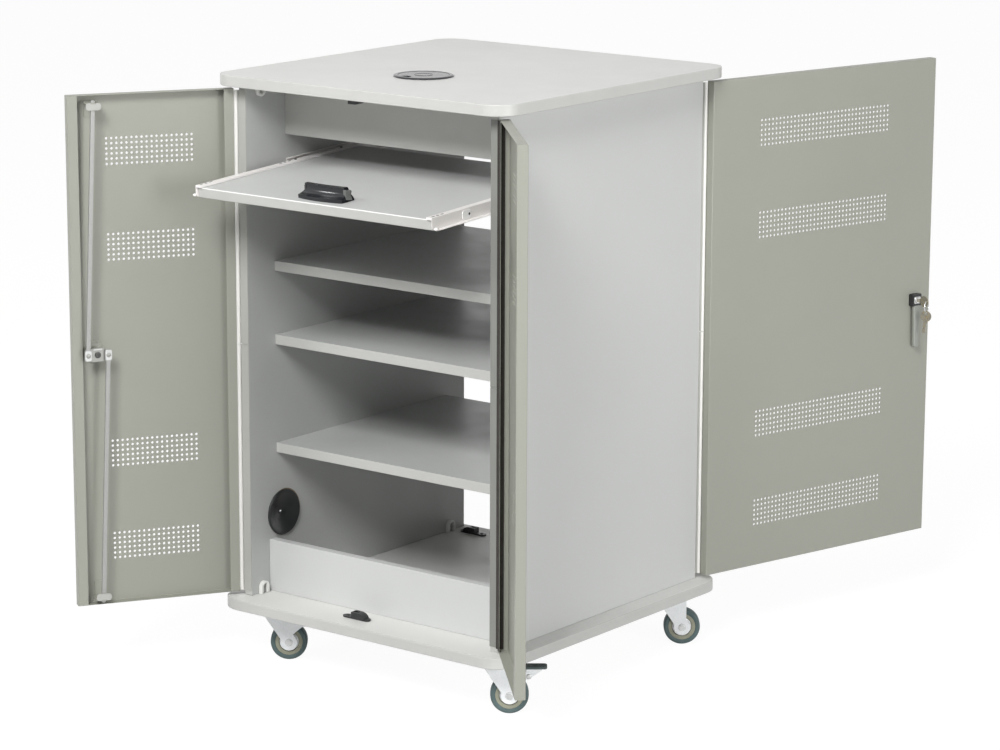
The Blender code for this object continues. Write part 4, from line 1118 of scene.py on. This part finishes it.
def make_key(name, place, body):
    """A flat key with the eye in its bow."""
    key = cut_out(name, key_outline(), -KEY_HALF, KEY_HALF, place)
    eye = cylinder("eye", KEY_EYE_RADIUS, -0.01, 0.01, place @ shift(KEY_EYE, 0, 0), 20)
    dress(carve(key, eye), KEY_METAL, body)


def make_keys():
    """The key in the lock, the split ring through its bow and the spare key under it."""
    body, crown = "rear_door_key", LOCK_CROWN
    radius, tip = 0.0062, 0.017
    section = [(0, crown - 0.003), (radius, crown - 0.003), (radius, crown + 0.0006)]
    section += [(0.0055, crown + 0.0012), (0, crown + 0.0012)]
    plug = lathed("rear_door_plug", section, 32, REAR_LOCK @ FACING_OUT)
    dress(plug, CHROME, body, "rear_door_key")

    # A key's X is turned to point out of the door and its flat to stand upright
    into = Matrix(((0, 0, 1, 0), (-1, 0, 0, 0), (0, 1, 0, 0), (0, 0, 0, 1)))
    make_key("rear_door_key_in_lock", REAR_LOCK @ shift(0, tip - crown, 0) @ into, body)

    # The ring hangs in the first key's bow, and the spare key hangs in the ring
    aside = REAR_LOCK @ shift(0, tip - crown - KEY_EYE, 0) @ turn(-65, "Z")
    loop, wire, rise = 0.0120, 0.0006, 0.0022
    ring = bmesh.new()
    for offset in (-wire, wire):
        add_torus(ring, loop, wire, aside @ shift(offset, 0, rise - loop))
    dress(to_object("rear_door_key_ring", ring, None, 60), CHROME, body)

    upward = Matrix(((0, 1, 0, 0), (0, 0, 1, 0), (1, 0, 0, 0), (0, 0, 0, 1)))
    hanging = shift(0, 0, rise - 2 * loop - 0.0020) @ turn(6, "Y") @ upward
    make_key("rear_door_spare_key", aside @ hanging @ shift(-KEY_EYE, 0, 0), body)


def add_torus(work, radius, thick, place):
    """A ring standing in the plane of Y and Z."""
    steps, around = 40, 8
    rows = []
    for i in range(steps):
        a = 2 * math.pi * i / steps
        row = []
        for x, y in circle(thick, around):
            r = radius + x
            row.append(work.verts.new(place @ Vector((y, r * math.cos(a), r * math.sin(a)))))
        rows.append(row)
    for i in range(steps):
        following = rows[(i + 1) % steps]
        for j in range(around):
            k = (j + 1) % around
            work.faces.new((rows[i][j], following[j], following[k], rows[i][k]))


def make_rods_and_guides():
    """Latch rods with their eyes, and guides with their straps, above and below each lock."""
    for name in ("left_door", "rear_door"):
        door = "left_front_door" if name == "left_door" else "rear_door"
        for level in ("upper", "lower"):
            rod = f"{name}_{level}_rod"
            dress(softened(f"{rod}_bar", rod, 0.0016, 3, 60), ROD_ZINC, rod, rod)
            guide = f"{name}_{level}_guide"
            dress(softened(f"{guide}_bracket", guide, 0.0004, 2), DOOR_ENAMEL, door, guide)
            make_rod_eye(name, level, rod)
            make_guide_strap(name, level, guide, door)


def make_guide_strap(name, level, guide, door):
    """Rounded front of a guide, which stands before the rod."""
    low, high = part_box(guide)
    width, height, thick, front = 0.0296, 0.014, 0.0016, 0.0209
    middle = high.z - height / 2 if level == "upper" else low.z + height / 2
    lock = LEFT_LOCK if name == "left_door" else REAR_LOCK
    place = lock @ shift(0, 0, middle - MID_HEIGHT) @ FACING_OUT
    outline = rounded_rectangle(width, height, 0.0050, 6)
    strap = cut_out(f"{guide}_strap", outline, -front, thick - front, place, (0.0004, 2, 60))
    dress(strap, LEAF_GREY, door)


def make_rod_eye(name, level, rod):
    """Bright pressed end of a rod where the cam's pin goes through it."""
    up = 1 if level == "upper" else -1
    lock = LEFT_LOCK if name == "left_door" else REAR_LOCK
    place = lock @ FACING_OUT @ shift(up * CAM_PIN_REACH, 0, 0)
    outline = rounded_rectangle(0.0128, 0.0205, 0.0040, 5)
    plate = cut_out(f"{rod}_eye", outline, -0.0179, -0.0173, place, (0.0002, 2, 60))
    dress(carve(plate, cylinder("pin_hole", 0.0046, -0.02, -0.01, place, 28)), ZINC, rod)


# Keepers and connectors


def make_keepers():
    spots, base, inset = [], 0.003, 0.010
    for name in ("front_lower", "front_upper", "rear_lower", "rear_upper"):
        node = f"{name}_keeper"
        dress(softened(f"{node}_block", node, 0.0010, 2, 40), BLACK, "cabinet", node)
        low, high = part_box(node)
        lower = name.endswith("lower")
        level = low.z + base if lower else high.z - base
        way = (0, 0, 1) if lower else (0, 0, -1)
        free = low.x + inset if name.startswith("front") else high.x - inset
        spots.append(((free, (low.y + high.y) / 2, level), way))
    screws("keeper_screws", spots, 0.0035, BLACK, "cabinet")


def make_connectors():
    """White arched corner blocks: a horseshoe wall round a recess with its screw."""
    spots = []
    for name in (
        "front_left_lower",
        "front_left_upper",
        "rear_left_lower",
        "front_right_lower",
        "front_right_upper",
        "rear_right_lower",
    ):
        node = f"{name}_connector"
        low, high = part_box(node)
        side = 1 if low.x > 0 else -1
        up = 1 if name.endswith("lower") else -1
        base = low.z if up > 0 else high.z
        y = (low.y + high.y) / 2
        wall = high.x if side > 0 else low.x
        deep = (high.x - low.x) * 0.75
        half, slot = (high.y - low.y) / 2 * 0.88, 0.0058
        shoulder, floor = (high.z - low.z) * 0.94 - half, deep * 0.45
        outer = [(half, 0)] + arc((0, shoulder), half, 0, 180, 20) + [(-half, 0)]
        inner = [(-slot, 0)] + arc((0, shoulder + 0.001), slot, 180, 0, 14) + [(slot, 0)]
        to_wall = Matrix(((0, 0, -side, 0), (1, 0, 0, 0), (0, up, 0, 0), (0, 0, 0, 1)))
        place = shift(wall, y, base) @ to_wall
        shell = cut_out(f"{node}_shell", outer + inner, 0, deep, place, (0.0012, 3, 60))
        dress(shell, WHITE_PLASTIC, "cabinet", node)
        # The recess's floor is coloured grey: painted shade in the white block
        web = cut_out(f"{node}_web", [(-a, b) for a, b in inner], SEAT, floor, place)
        dress(web, RECESS_PAINTED_SHADE, "cabinet")
        spot = place @ Vector((0, shoulder + 0.001, floor))
        spots.append((spot, (-side, 0, 0)))
    screws("connector_screws", spots, 0.0046, GREY_STEEL, "cabinet")


# Tabletop grommet, its cap and the vent disc in the side panel


def make_grommet():
    """Flanged ring in the tabletop, and the notched cap that turns in it."""
    centre = joint_at("grommet_cap_turn")
    low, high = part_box("tabletop_grommet")
    cap_low, cap_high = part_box("grommet_cap")
    flange, bore, barrel, recess = (high.x - low.x) / 2, 0.046, 0.0517, 0.0498
    top, under = high.z, high.z - 0.0032
    section = [
        (bore, low.z),
        (barrel, low.z),
        (barrel, under),
        (flange - 0.0004, under),
        (flange, under + 0.0006),
        (flange - 0.0006, top - 0.0014),
        (flange - 0.0020, top - 0.0004),
        (flange - 0.0042, top),
        (recess + 0.0006, top),
        (recess, top - 0.0006),
        (recess, cap_low.z - SEAT),
        (bore, cap_low.z - SEAT),
    ]
    place = shift(centre.x, centre.y, 0)
    ring = lathed("tabletop_grommet_ring", closed(section), 72, place)
    dress(ring, PULL_BLACK, "cabinet", "tabletop_grommet")

    # The cap's rim runs round to the notch, whose own arc is centred near the rim
    radius, notch, way = 0.0495, 0.011, -104
    reach = radius - notch / 2
    spread = math.degrees(math.acos((radius**2 + reach**2 - notch**2) / (2 * radius * reach)))
    outline = arc((0, 0), radius, way + spread, way + 360 - spread, 72)
    middle = (reach * math.cos(math.radians(way)), reach * math.sin(math.radians(way)))
    first, last = outline[-1], outline[0]
    a0 = math.degrees(math.atan2(first[1] - middle[1], first[0] - middle[0]))
    a1 = math.degrees(math.atan2(last[1] - middle[1], last[0] - middle[0]))
    while a1 > a0:
        a1 -= 360
    outline += arc(middle, notch, a0, a1, 18)[1:-1]
    cap = bmesh.new()
    add_prism(cap, outline, cap_low.z, cap_high.z - 0.0005)
    round_edges(cap, 0.0006, 2, 50)
    boss, top = 0.018, cap_high.z
    section = [(0, top - 0.003), (boss, top - 0.003), (boss, top)]
    section += [(boss - 0.0008, top), (boss - 0.0012, top - 0.0004), (0, top - 0.0004)]
    add_lathe(cap, section, 60)
    dress(to_object("tabletop_grommet_cap", cap, place), PULL_BLACK, "grommet_cap", "grommet_cap")


def make_vent_disc():
    """Dished disc in the side panel's hole, with its rivet and the board's raw edge beside it."""
    low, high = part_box("side_grommet")
    centre = (low + high) / 2
    radius = (high.y - low.y) / 2
    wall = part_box("left_side_panel")[1].x
    place = shift(wall, centre.y, centre.z) @ ALONG_X
    rim, dish, barrel, metal = high.x - wall, 0.0085, 0.0400, 0.0025
    section = [
        (0, -dish),
        (0.0075, -dish),
        (0.0085, -dish * 0.93),
        (0.0180, -dish * 0.72),
        (0.0190, -dish * 0.64),
        (0.0290, -dish * 0.22),
        (0.0360, rim * 0.45),
        (radius * 0.90, rim * 0.90),
        (radius * 0.95, rim),
        (radius * 0.985, rim * 0.86),
        (radius, rim * 0.45),
        (radius, SEAT),
        (barrel, SEAT),
        (barrel, low.x - wall),
        (barrel - metal, low.x - wall),
        (barrel - metal, -dish - 0.001),
        (0, -dish - 0.001),
    ]
    disc = lathed("vent_disc", section, 72, place, 25)
    dress(disc, BLACK, "cabinet", "side_grommet")
    section = [(0, -dish - 0.0004), (0.0030, -dish - 0.0004), (0.0029, -dish + 0.0008)]
    section += [(0.0020, -dish + 0.0016), (0.0008, -dish + 0.0019), (0, -dish + 0.0019)]
    dress(lathed("vent_disc_rivet", section, 24, place, 60), CHROME, "cabinet")
    section = [(radius - 0.002, 0.0001), (radius + 0.0009, 0.0001)]
    section += [(radius + 0.0007, 0.0006), (radius - 0.002, 0.0006)]
    aside = shift(0, 0.0026, 0)
    dress(lathed("vent_hole_edge", closed(section), 72, place @ aside), RAW_EDGE, "cabinet")


# Keyboard shelf's pull and slides


GRIP_SECTION_SHARES = (
    (0.02, 0.00),
    (0.00, 0.26),
    (0.15, 0.31),
    (0.32, 0.44),
    (0.41, 0.68),
    (0.38, 0.98),
    (0.50, 1.00),
    (0.70, 0.95),
    (0.86, 0.45),
    (1.00, 0.05),
    (1.00, 0.00),
)


def smooth_chain(points, steps):
    """Points along a Catmull-Rom curve through the given ones, ends included."""
    chain = []
    ends = [points[0]] + list(points) + [points[-1]]
    for a, b, c, d in zip(ends, ends[1:], ends[2:], ends[3:]):
        for i in range(steps):
            t = i / steps
            chain.append(
                tuple(
                    0.5
                    * (
                        2 * q
                        + (r - p) * t
                        + (2 * p - 5 * q + 4 * r - s) * t * t
                        + (3 * q - p - 3 * r + s) * t**3
                    )
                    for p, q, r, s in zip(a, b, c, d)
                )
            )
    return chain + [points[-1]]


def make_pull():
    """Moulded pull: a hollow front with a long lip, a thumb mark on top and two end cheeks."""
    half, depth, height, bulge = 0.0535, 0.044, 0.027, 0.007
    waist_start_share, waist_span_share, waist_share = 0.26, 0.3, 0.10
    chain = [GRIP_SECTION_SHARES[0], GRIP_SECTION_SHARES[1]]
    chain += smooth_chain(GRIP_SECTION_SHARES[1:6], 6)[1:]
    chain += smooth_chain(GRIP_SECTION_SHARES[5:10], 4)[1:]
    chain += [GRIP_SECTION_SHARES[10]]
    work = bmesh.new()
    rows = []
    stations = 36
    for i in range(stations + 1):
        share = 2 * i / stations - 1
        bow = bulge * share * share
        row = []
        for y, z in chain:
            level = max(0.0, z) * height
            drawn_in = min(1.0, max(0.0, z - waist_start_share) / waist_span_share)
            waist = 1 - waist_share * drawn_in
            row.append(work.verts.new((share * half * waist, y * (depth - bow) + bow, level)))
        rows.append(row)
    count = len(chain)
    for a, b in zip(rows, rows[1:]):
        for j in range(count):
            k = (j + 1) % count
            work.faces.new((a[j], b[j], b[k], a[k]))
    work.faces.new(rows[0])
    work.faces.new(rows[-1])
    place = KEYBOARD @ shift(-0.001, 0.016, SEAT)
    body = to_object("keyboard_pull", work, place, 50)
    dress(body, PULL_BLACK, "keyboard_tray", "keyboard_shelf_pull")
    make_pull_cheeks(place)
    section = [(0, 0), (0.0042, 0), (0.0036, 0.0011), (0.0016, 0.0019), (0, 0.0021)]
    mark = lathed("keyboard_pull_mark", section, 28, place @ shift(-0.012, 0.0215, 0.0262), 60)
    dress(mark, PULL_BLACK, "keyboard_tray")


def make_pull_cheeks(place):
    """End cheeks behind the grip, each with its lug; the right one stands out further."""
    outline = [(0.020, 0), (0.0380, 0), (0.0370, 0.007), (0.0330, 0.014), (0.031, 0.0215)]
    outline += [(0.0195, 0.0235), (0.0200, 0.014)]
    lug = [(0.027, 0.0160), (0.034, 0.0140), (0.036, 0.0185), (0.034, 0.0215), (0.027, 0.0215)]
    inner = 0.0470
    cheeks = bmesh.new()
    for side, outer, lug_outer in ((-1, 0.0485, 0.0490), (1, 0.0535, 0.0548)):
        for shape, reach in ((outline, outer), (lug, lug_outer)):
            low, high = sorted((side * inner, side * reach))
            add_prism(cheeks, shape, low, high, SIDE_ON)
    round_edges(cheeks, 0.0009, 3, 50)
    dress(to_object("keyboard_pull_cheeks", cheeks, place), SHADE_BLACK, "keyboard_tray")


SLIDE_WEB = 0.2890
SLIDE_HOLE_LINE = SLIDE_WEB - 0.0045
# Distance up the shelf and hole radius of the marks in the fold; a slot has none
SLIDE_MARKS = ((0.006, 0), (0.019, 0.0030), (0.032, 0), (0.236, 0), (0.249, 0.0030), (0.262, 0))


def make_slides():
    """Pull-out member and cabinet member of the slide on each side."""
    for label, side in (("left", -1), ("right", 1)):
        node = f"{label}_drawer_slide"
        member = softened(f"{label}_drawer_member", node, 0.0005, 2, 50)
        dress(carve(member, slide_corner(side)), SLIDE_WHITE, "keyboard_tray", node)
        make_slide_fold(label, side)
        node = f"{label}_cabinet_slide"
        member = softened(f"{label}_cabinet_member", node, 0.0004, 2, 50)
        dress(member, SLIDE_WHITE, "cabinet", node)
        make_slide_fittings(label, side)


def make_slide_fold(label, side):
    """Fold over the drawer member's upper flange with its holes and slots, and dark plates in them
    as painted shade.
    """
    low, high = sorted((side * 0.2765, side * 0.2892))
    front, back, bottom, top = -0.0050, 0.4670, 0.0004, 0.0050
    outline = rectangle(low, front, high, back)
    fold = cut_out(f"{label}_slide_fold", outline, bottom, top, KEYBOARD, (0.0005, 2, 50))
    tools, marks = [], bmesh.new()
    for along, radius in SLIDE_MARKS:
        place = shift(side * SLIDE_HOLE_LINE, along, 0)
        outline = rounded_rectangle(0.0032, 0.0090, 0.0014, 3)
        if radius:
            outline = arc((0, 0), radius, 0, 345, 23)
        tools.append(cut_out("mark", outline, 0.0015, top + 0.0056, KEYBOARD @ place))
        # A dark plate on each hole's floor: painted shade
        add_prism(marks, outline, 0.0012, top + 0.0001, place)
    dress(carve(fold, *tools), SLIDE_WHITE, "keyboard_tray")
    dress(to_object(f"{label}_slide_marks", marks, KEYBOARD), DARK_SCREW_STEEL_AND_PAINTED_SHADE, "keyboard_tray")


def slide_corner(side):
    """Tool that rounds the lower front corner of the drawer member."""
    front, foot, radius, overrun = -0.005, -0.019, 0.0075, 0.002
    outline = [(front - overrun, foot - overrun), (front + radius, foot - overrun)]
    outline += arc((front + radius, foot + radius), radius, 270, 180, 8)
    outline += [(front - overrun, foot + radius)]
    low, high = sorted((side * 0.280, side * 0.305))
    work = bmesh.new()
    add_prism(work, outline, low, high, SIDE_ON)
    return to_object("corner", work, KEYBOARD)


def make_slide_fittings(label, side):
    """Front end of the running flange, pressed boss with its hole, screws and roller."""
    outward = ALONG_X if side > 0 else turn(-90, "Y")
    face = SLIDE_WEB + 0.0012
    nose = bmesh.new()
    bmesh.ops.create_uvsphere(nose, u_segments=24, v_segments=14, radius=0.0042)
    bmesh.ops.scale(nose, vec=(1.1, 0.9, 0.75), verts=nose.verts)
    spot = KEYBOARD @ shift(side * (face + 0.0062), -0.0006, -0.0160)
    dress(to_object(f"{label}_slide_nose", nose, spot, 60), SLIDE_WHITE, "keyboard_tray")

    seat, level = side * (face - 0.0003), -0.0072
    spot = KEYBOARD @ shift(seat, 0.096, level) @ outward
    # The pressed boss is whiter than the slide's own enamel: a painted highlight
    outline = rounded_rectangle(0.0170, 0.0260, 0.0060, 6)
    boss = cut_out(f"{label}_slide_boss", outline, 0, 0.0012, spot, (0.0007, 3, 50))
    dress(boss, BOSS_PAINTED_HIGHLIGHT, "keyboard_tray")
    spot = KEYBOARD @ shift(seat, 0.1035, level) @ outward
    section = [(0, 0.0010), (0.0026, 0.0010), (0.0026, 0.0013), (0, 0.0013)]
    dress(lathed(f"{label}_slide_hole", section, 24, spot), BLACK, "keyboard_tray")

    spots = []
    for along in (0.281, 0.420):
        spots.append((KEYBOARD @ Vector((side * SLIDE_HOLE_LINE, along, 0.0051)), (0, 0, 1)))
    screws(f"{label}_slide_screws", spots, 0.0028, BLACK, "keyboard_tray")
    half, radius, ease = 0.0030, 0.0074, 0.0008
    section = [(0, -half), (radius - ease, -half), (radius, ease - half), (radius, half - ease)]
    section += [(radius - ease, half), (0.0030, half), (0.0026, half + 0.0006), (0, half + 0.0006)]
    place = KEYBOARD @ shift(side * (face + 0.0050), 0.4560, -0.0080) @ ALONG_X
    roller = lathed(f"{label}_slide_roller", section, 36, place, 40)
    dress(roller, WHITE_PLASTIC, "keyboard_tray")


# Casters


def make_caster(label):
    """Top plate on the base board, fork under it, wheel, axle, bearing and screws."""
    fork = f"{label}_fork"
    swivel, axle = joint_at(f"{label}_swivel"), joint_at(f"{label}_wheel_spin")
    sideways = shift(*axle) @ turn(CASTER_HEADING, "Z") @ FACING_OUT
    plate = f"{label}_caster_plate"
    top = softened(f"{label}_top_plate", plate, 0.0006, 2, 40)
    dress(top, WHITE_ZINC, "cabinet", plate)
    dress(softened(f"{label}_caster_fork", fork, 0.0006, 2, 40), WHITE_ZINC, fork, fork)
    make_wheel(label, sideways)
    make_axle_ends(label, sideways)
    make_bearing(label, swivel)
    spacing, level = 0.0245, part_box(plate)[1].z - 0.0025
    spots = []
    for sx in (-1, 1):
        for sy in (-1, 1):
            spot = (swivel.x + sx * spacing, swivel.y + sy * spacing, level)
            spots.append((spot, (0, 0, -1)))
    screws(f"{label}_plate_screws", spots, 0.0040, ZINC, "cabinet")


def both_sides(section):
    """A closed section from its half on one side of the wheel's middle."""
    return closed(section + [(r, -w) for r, w in reversed(section)])


def make_wheel(label, sideways):
    """Rubber tyre, its olive core and the pressed dust discs of the hub."""
    # The tread keeps inside the flats of the CAD wheel's faceted rim
    rim_facets = 24
    reach = WHEEL_RADIUS * math.cos(math.pi / rim_facets)
    half, shoulder, turn_in = WHEEL_HALF, 0.0330, 0.0042
    tyre = [(0.0275, half - 0.0008), (0.0290, half - 0.0002), (shoulder, half)]
    tyre += arc((shoulder, half - turn_in), turn_in, 90, 20, 5)[1:]
    tyre = [(min(r, reach), w) for r, w in tyre] + [(reach, 0.0045)]
    core = [(0.0198, half - 0.0018), (0.0206, half - 0.0010)]
    core += [(0.0262, half - 0.0010), (0.0278, half - 0.0016)]
    hub = [(0.0042, 0.0138), (0.0090, 0.0138), (0.0098, 0.0128), (0.0104, 0.0104)]
    hub += [(0.0160, 0.0100), (0.0176, 0.0108), (0.0184, 0.0104), (0.0186, 0.0090)]
    hub += [(0.0194, 0.0088)]
    seam = [(0.0190, 0.0086), (0.0202, 0.0086)]
    for part, section, finish, nodes in (
        ("tyre", tyre, TYRE, [f"{label}_wheel"]),
        ("tyre_core", core, TYRE_CORE, []),
        ("hub", hub, WHITE_ZINC, []),
        ("hub_seam", seam, DARK_JOINT_AND_PAINTED_SHADE, []),
    ):
        piece = lathed(f"{label}_{part}", both_sides(section), 80, sideways, 25)
        dress(piece, finish, f"{label}_wheel", *nodes)


def make_axle_ends(label, sideways):
    """Hexagon nut on one end of the axle and the bolt's head on the other."""
    for end, side in (("nut", 1), ("bolt", -1)):
        head = bmesh.new()
        low, high = sorted((side * (FORK_FACE + 0.0005), side * (FORK_FACE + 0.0036)))
        add_prism(head, circle(0.0066, 6), low, high)
        round_edges(head, 0.0006, 2, 50)
        low, high = sorted((side * (FORK_FACE - 0.0002), side * (FORK_FACE + 0.0006)))
        add_prism(head, circle(0.0078, 36), low, high)
        if end == "nut":
            add_prism(head, circle(0.0036, 28), FORK_FACE, FORK_FACE + 0.0046)
        dress(to_object(f"{label}_axle_{end}", head, sideways), ZINC, f"{label}_fork")


def make_bearing(label, swivel):
    """Lower ball race under the crown, with the dust ring above it."""
    top, bore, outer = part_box(f"{label}_fork")[1].z, 0.0105, 0.0222
    section = [(bore, top - 0.0026), (0.0205, top - 0.0026), (outer, top - 0.0040)]
    section += [(outer, top - 0.0052), (0.0200, top - 0.0062), (bore, top - 0.0062)]
    place = shift(swivel.x, swivel.y, 0)
    dress(lathed(f"{label}_lower_race", closed(section), 60, place), ZINC, f"{label}_fork")


def make_pedal(label):
    """Brake pedal: ribbed pad on a pair of zinc arms."""
    body = f"{label}_brake_pedal"
    place = shift(*joint_at(f"{label}_brake_turn")) @ turn(CASTER_HEADING, "Z")
    half, corner, corner_x, back = 0.0140, 0.006, 0.0290, -0.010
    outline = [(back, -half), (0.030, -half)]
    outline += arc((corner_x, corner - half), corner, -90, 0, 6)[1:]
    outline += arc((corner_x, half - corner), corner, 0, 90, 6) + [(back, half)]
    pad = cut_out(f"{label}_pedal_pad", outline, 0.0130, 0.0174, place, (0.0014, 3, 50))
    dress(pad, PAD_PLASTIC, body, body)
    ribs = grown(
        f"{label}_pedal_ribs",
        RIB_TREE,
        Count=6,
        Pitch=0.0055,
        Rib_size=(0.0020, 0.0220, 0.0008),
        Material=PAD_PLASTIC,
    )
    ribs.data.transform(place @ shift(0.0140, 0, 0.0176))
    dress(ribs, PAD_PLASTIC, body)

    arms, metal, root, reach = bmesh.new(), 0.0025, 0.0132, 0.025
    side = [(-0.005, root)] + arc((0, 0), 0.0056, 180, 330, 8)
    side += [(reach, 0.0112), (reach, root)]
    for low in (-half, half - metal):
        add_prism(arms, side, low, low + metal, FACING_OUT)
    round_edges(arms, 0.0005, 2, 50)
    dress(to_object(f"{label}_pedal_arms", arms, place), WHITE_ZINC, body)

    heads = bmesh.new()
    section = [(0, -0.0004), (0.0052, -0.0004), (0.0050, 0.0014), (0.0038, 0.0024), (0, 0.0026)]
    for way in (-1, 1):
        raised = [(r, way * (FORK_FACE + h)) for r, h in section]
        add_lathe(heads, raised, 28, FACING_OUT)
    dress(to_object(f"{label}_brake_pin_heads", heads, place, 50), ZINC, f"{label}_fork")


# Stage, light and camera


def light_path_mix(tree, scene_shader, plain_shader, share):
    """Shows the plain shader to camera, glossy and transmission rays, to the given share."""
    path = tree.nodes.new("ShaderNodeLightPath").outputs
    seen = tree_math(tree, "MAXIMUM", path["Is Camera Ray"], path["Is Glossy Ray"])
    seen = tree_math(tree, "MAXIMUM", seen, path["Is Transmission Ray"])
    weight = tree_math(tree, "MULTIPLY", seen, share)
    mix = tree.nodes.new("ShaderNodeMixShader")
    for socket, source in zip(mix.inputs, (weight, scene_shader, plain_shader)):
        tree.links.new(source, socket)
    return mix.outputs[0]


def make_floor():
    """Plain pale floor, which the camera sees mostly as white and which keeps its shadow."""
    grey, glow_strength, white_share, half, drop = 0.50, 1.21, 0.78, 30, 0.0004
    material = bpy.data.materials.new("white_floor")
    material.use_nodes = True
    tree = material.node_tree
    tree.nodes.clear()
    diffuse = tree.nodes.new("ShaderNodeBsdfDiffuse")
    diffuse.inputs["Color"].default_value = (grey, grey, grey, 1)
    glow = tree.nodes.new("ShaderNodeEmission")
    glow.inputs["Strength"].default_value = glow_strength
    output = tree.nodes.new("ShaderNodeOutputMaterial")
    seen = light_path_mix(tree, diffuse.outputs[0], glow.outputs[0], white_share)
    tree.links.new(seen, output.inputs[0])
    floor = cut_out("floor", rounded_rectangle(2 * half, 2 * half, 1, 2), -0.02, -drop)
    floor.data.materials.append(material)


def make_world():
    """White to the camera; the room's own light fades towards the rear."""
    world = bpy.data.worlds.new("studio")
    world.use_nodes = True
    bpy.context.scene.world = world
    tree = world.node_tree
    tree.nodes.clear()
    soft = tree.nodes.new("ShaderNodeBackground")
    plain = tree.nodes.new("ShaderNodeBackground")
    for background in (soft, plain):
        background.inputs["Color"].default_value = (1.0, 1.0, 1.0, 1)
    plain.inputs["Strength"].default_value = 1.0
    # The room is darker behind the cart, so that little light comes in through its open back
    way = tree.nodes.new("ShaderNodeTexCoord").outputs["Generated"]
    parts = tree.nodes.new("ShaderNodeSeparateXYZ")
    tree.links.new(way, parts.inputs[0])
    fade = tree.nodes.new("ShaderNodeMapRange")
    for label, value in (("From Min", 0.0), ("From Max", 0.6), ("To Min", 0.27), ("To Max", 0.08)):
        fade.inputs[label].default_value = value
    tree.links.new(parts.outputs["Y"], fade.inputs["Value"])
    tree.links.new(fade.outputs["Result"], soft.inputs["Strength"])
    output = tree.nodes.new("ShaderNodeOutputWorld")
    seen = light_path_mix(tree, soft.outputs[0], plain.outputs[0], 1.0)
    tree.links.new(seen, output.inputs[0])


def area_lamp(name, spot, target, size, power):
    data = bpy.data.lights.new(name, "AREA")
    data.shape = "RECTANGLE"
    data.size, data.size_y = size
    data.energy = power
    lamp = new_object(name, data)
    lamp.location = spot
    lamp.rotation_euler = (Vector(target) - Vector(spot)).to_track_quat("-Z", "Y").to_euler()
    lamp.visible_camera = False


def make_lamps():
    area_lamp("key", (2.1, -5.8, 5.5), (0, 0, 0.6), (2.4, 2.4), 470)
    area_lamp("left_front", (-3.8, -4.6, 4.3), (0, -0.3, 0.8), (1.4, 1.4), 110)
    area_lamp("right_side", (6.0, -1.2, 1.7), (0, 0, 0.7), (2.2, 2.0), 165)


def make_camera():
    """Camera solved from the photograph: its place, then its heading, tilt and roll."""
    spot, heading, tilt, roll = (4.1452, -5.2760, 2.0745), 37.6902, -12.6107, 0.2019
    data = bpy.data.cameras.new("photo_camera")
    data.sensor_width = 36.0
    data.lens = 123.86
    data.clip_end = 200
    camera = new_object("photo_camera", data)
    aim = turn(heading, "Z") @ turn(90 + tilt, "X") @ turn(roll, "Z")
    camera.matrix_world = shift(*spot) @ aim
    bpy.context.scene.camera = camera


def main():
    make_camera()
    make_floor()
    make_world()
    make_lamps()
    make_top_and_base()
    make_carcass()
    make_keyboard_shelf()
    make_hinges()
    make_doors()
    make_lock("left_door", LEFT_LOCK, "left_door_lock", False)
    make_lock("rear_door", REAR_LOCK, "rear_door_lock", True)
    make_keys()
    make_rods_and_guides()
    make_keepers()
    make_connectors()
    make_grommet()
    make_vent_disc()
    make_pull()
    make_slides()
    for label in ("front_left", "front_right", "rear_left", "rear_right"):
        make_caster(label)
    for label in ("front_left", "front_right"):
        make_pedal(label)
    bpy.data.objects.remove(SCREW_HEAD)
    bpy.context.scene.view_settings.view_transform = "Standard"


main()
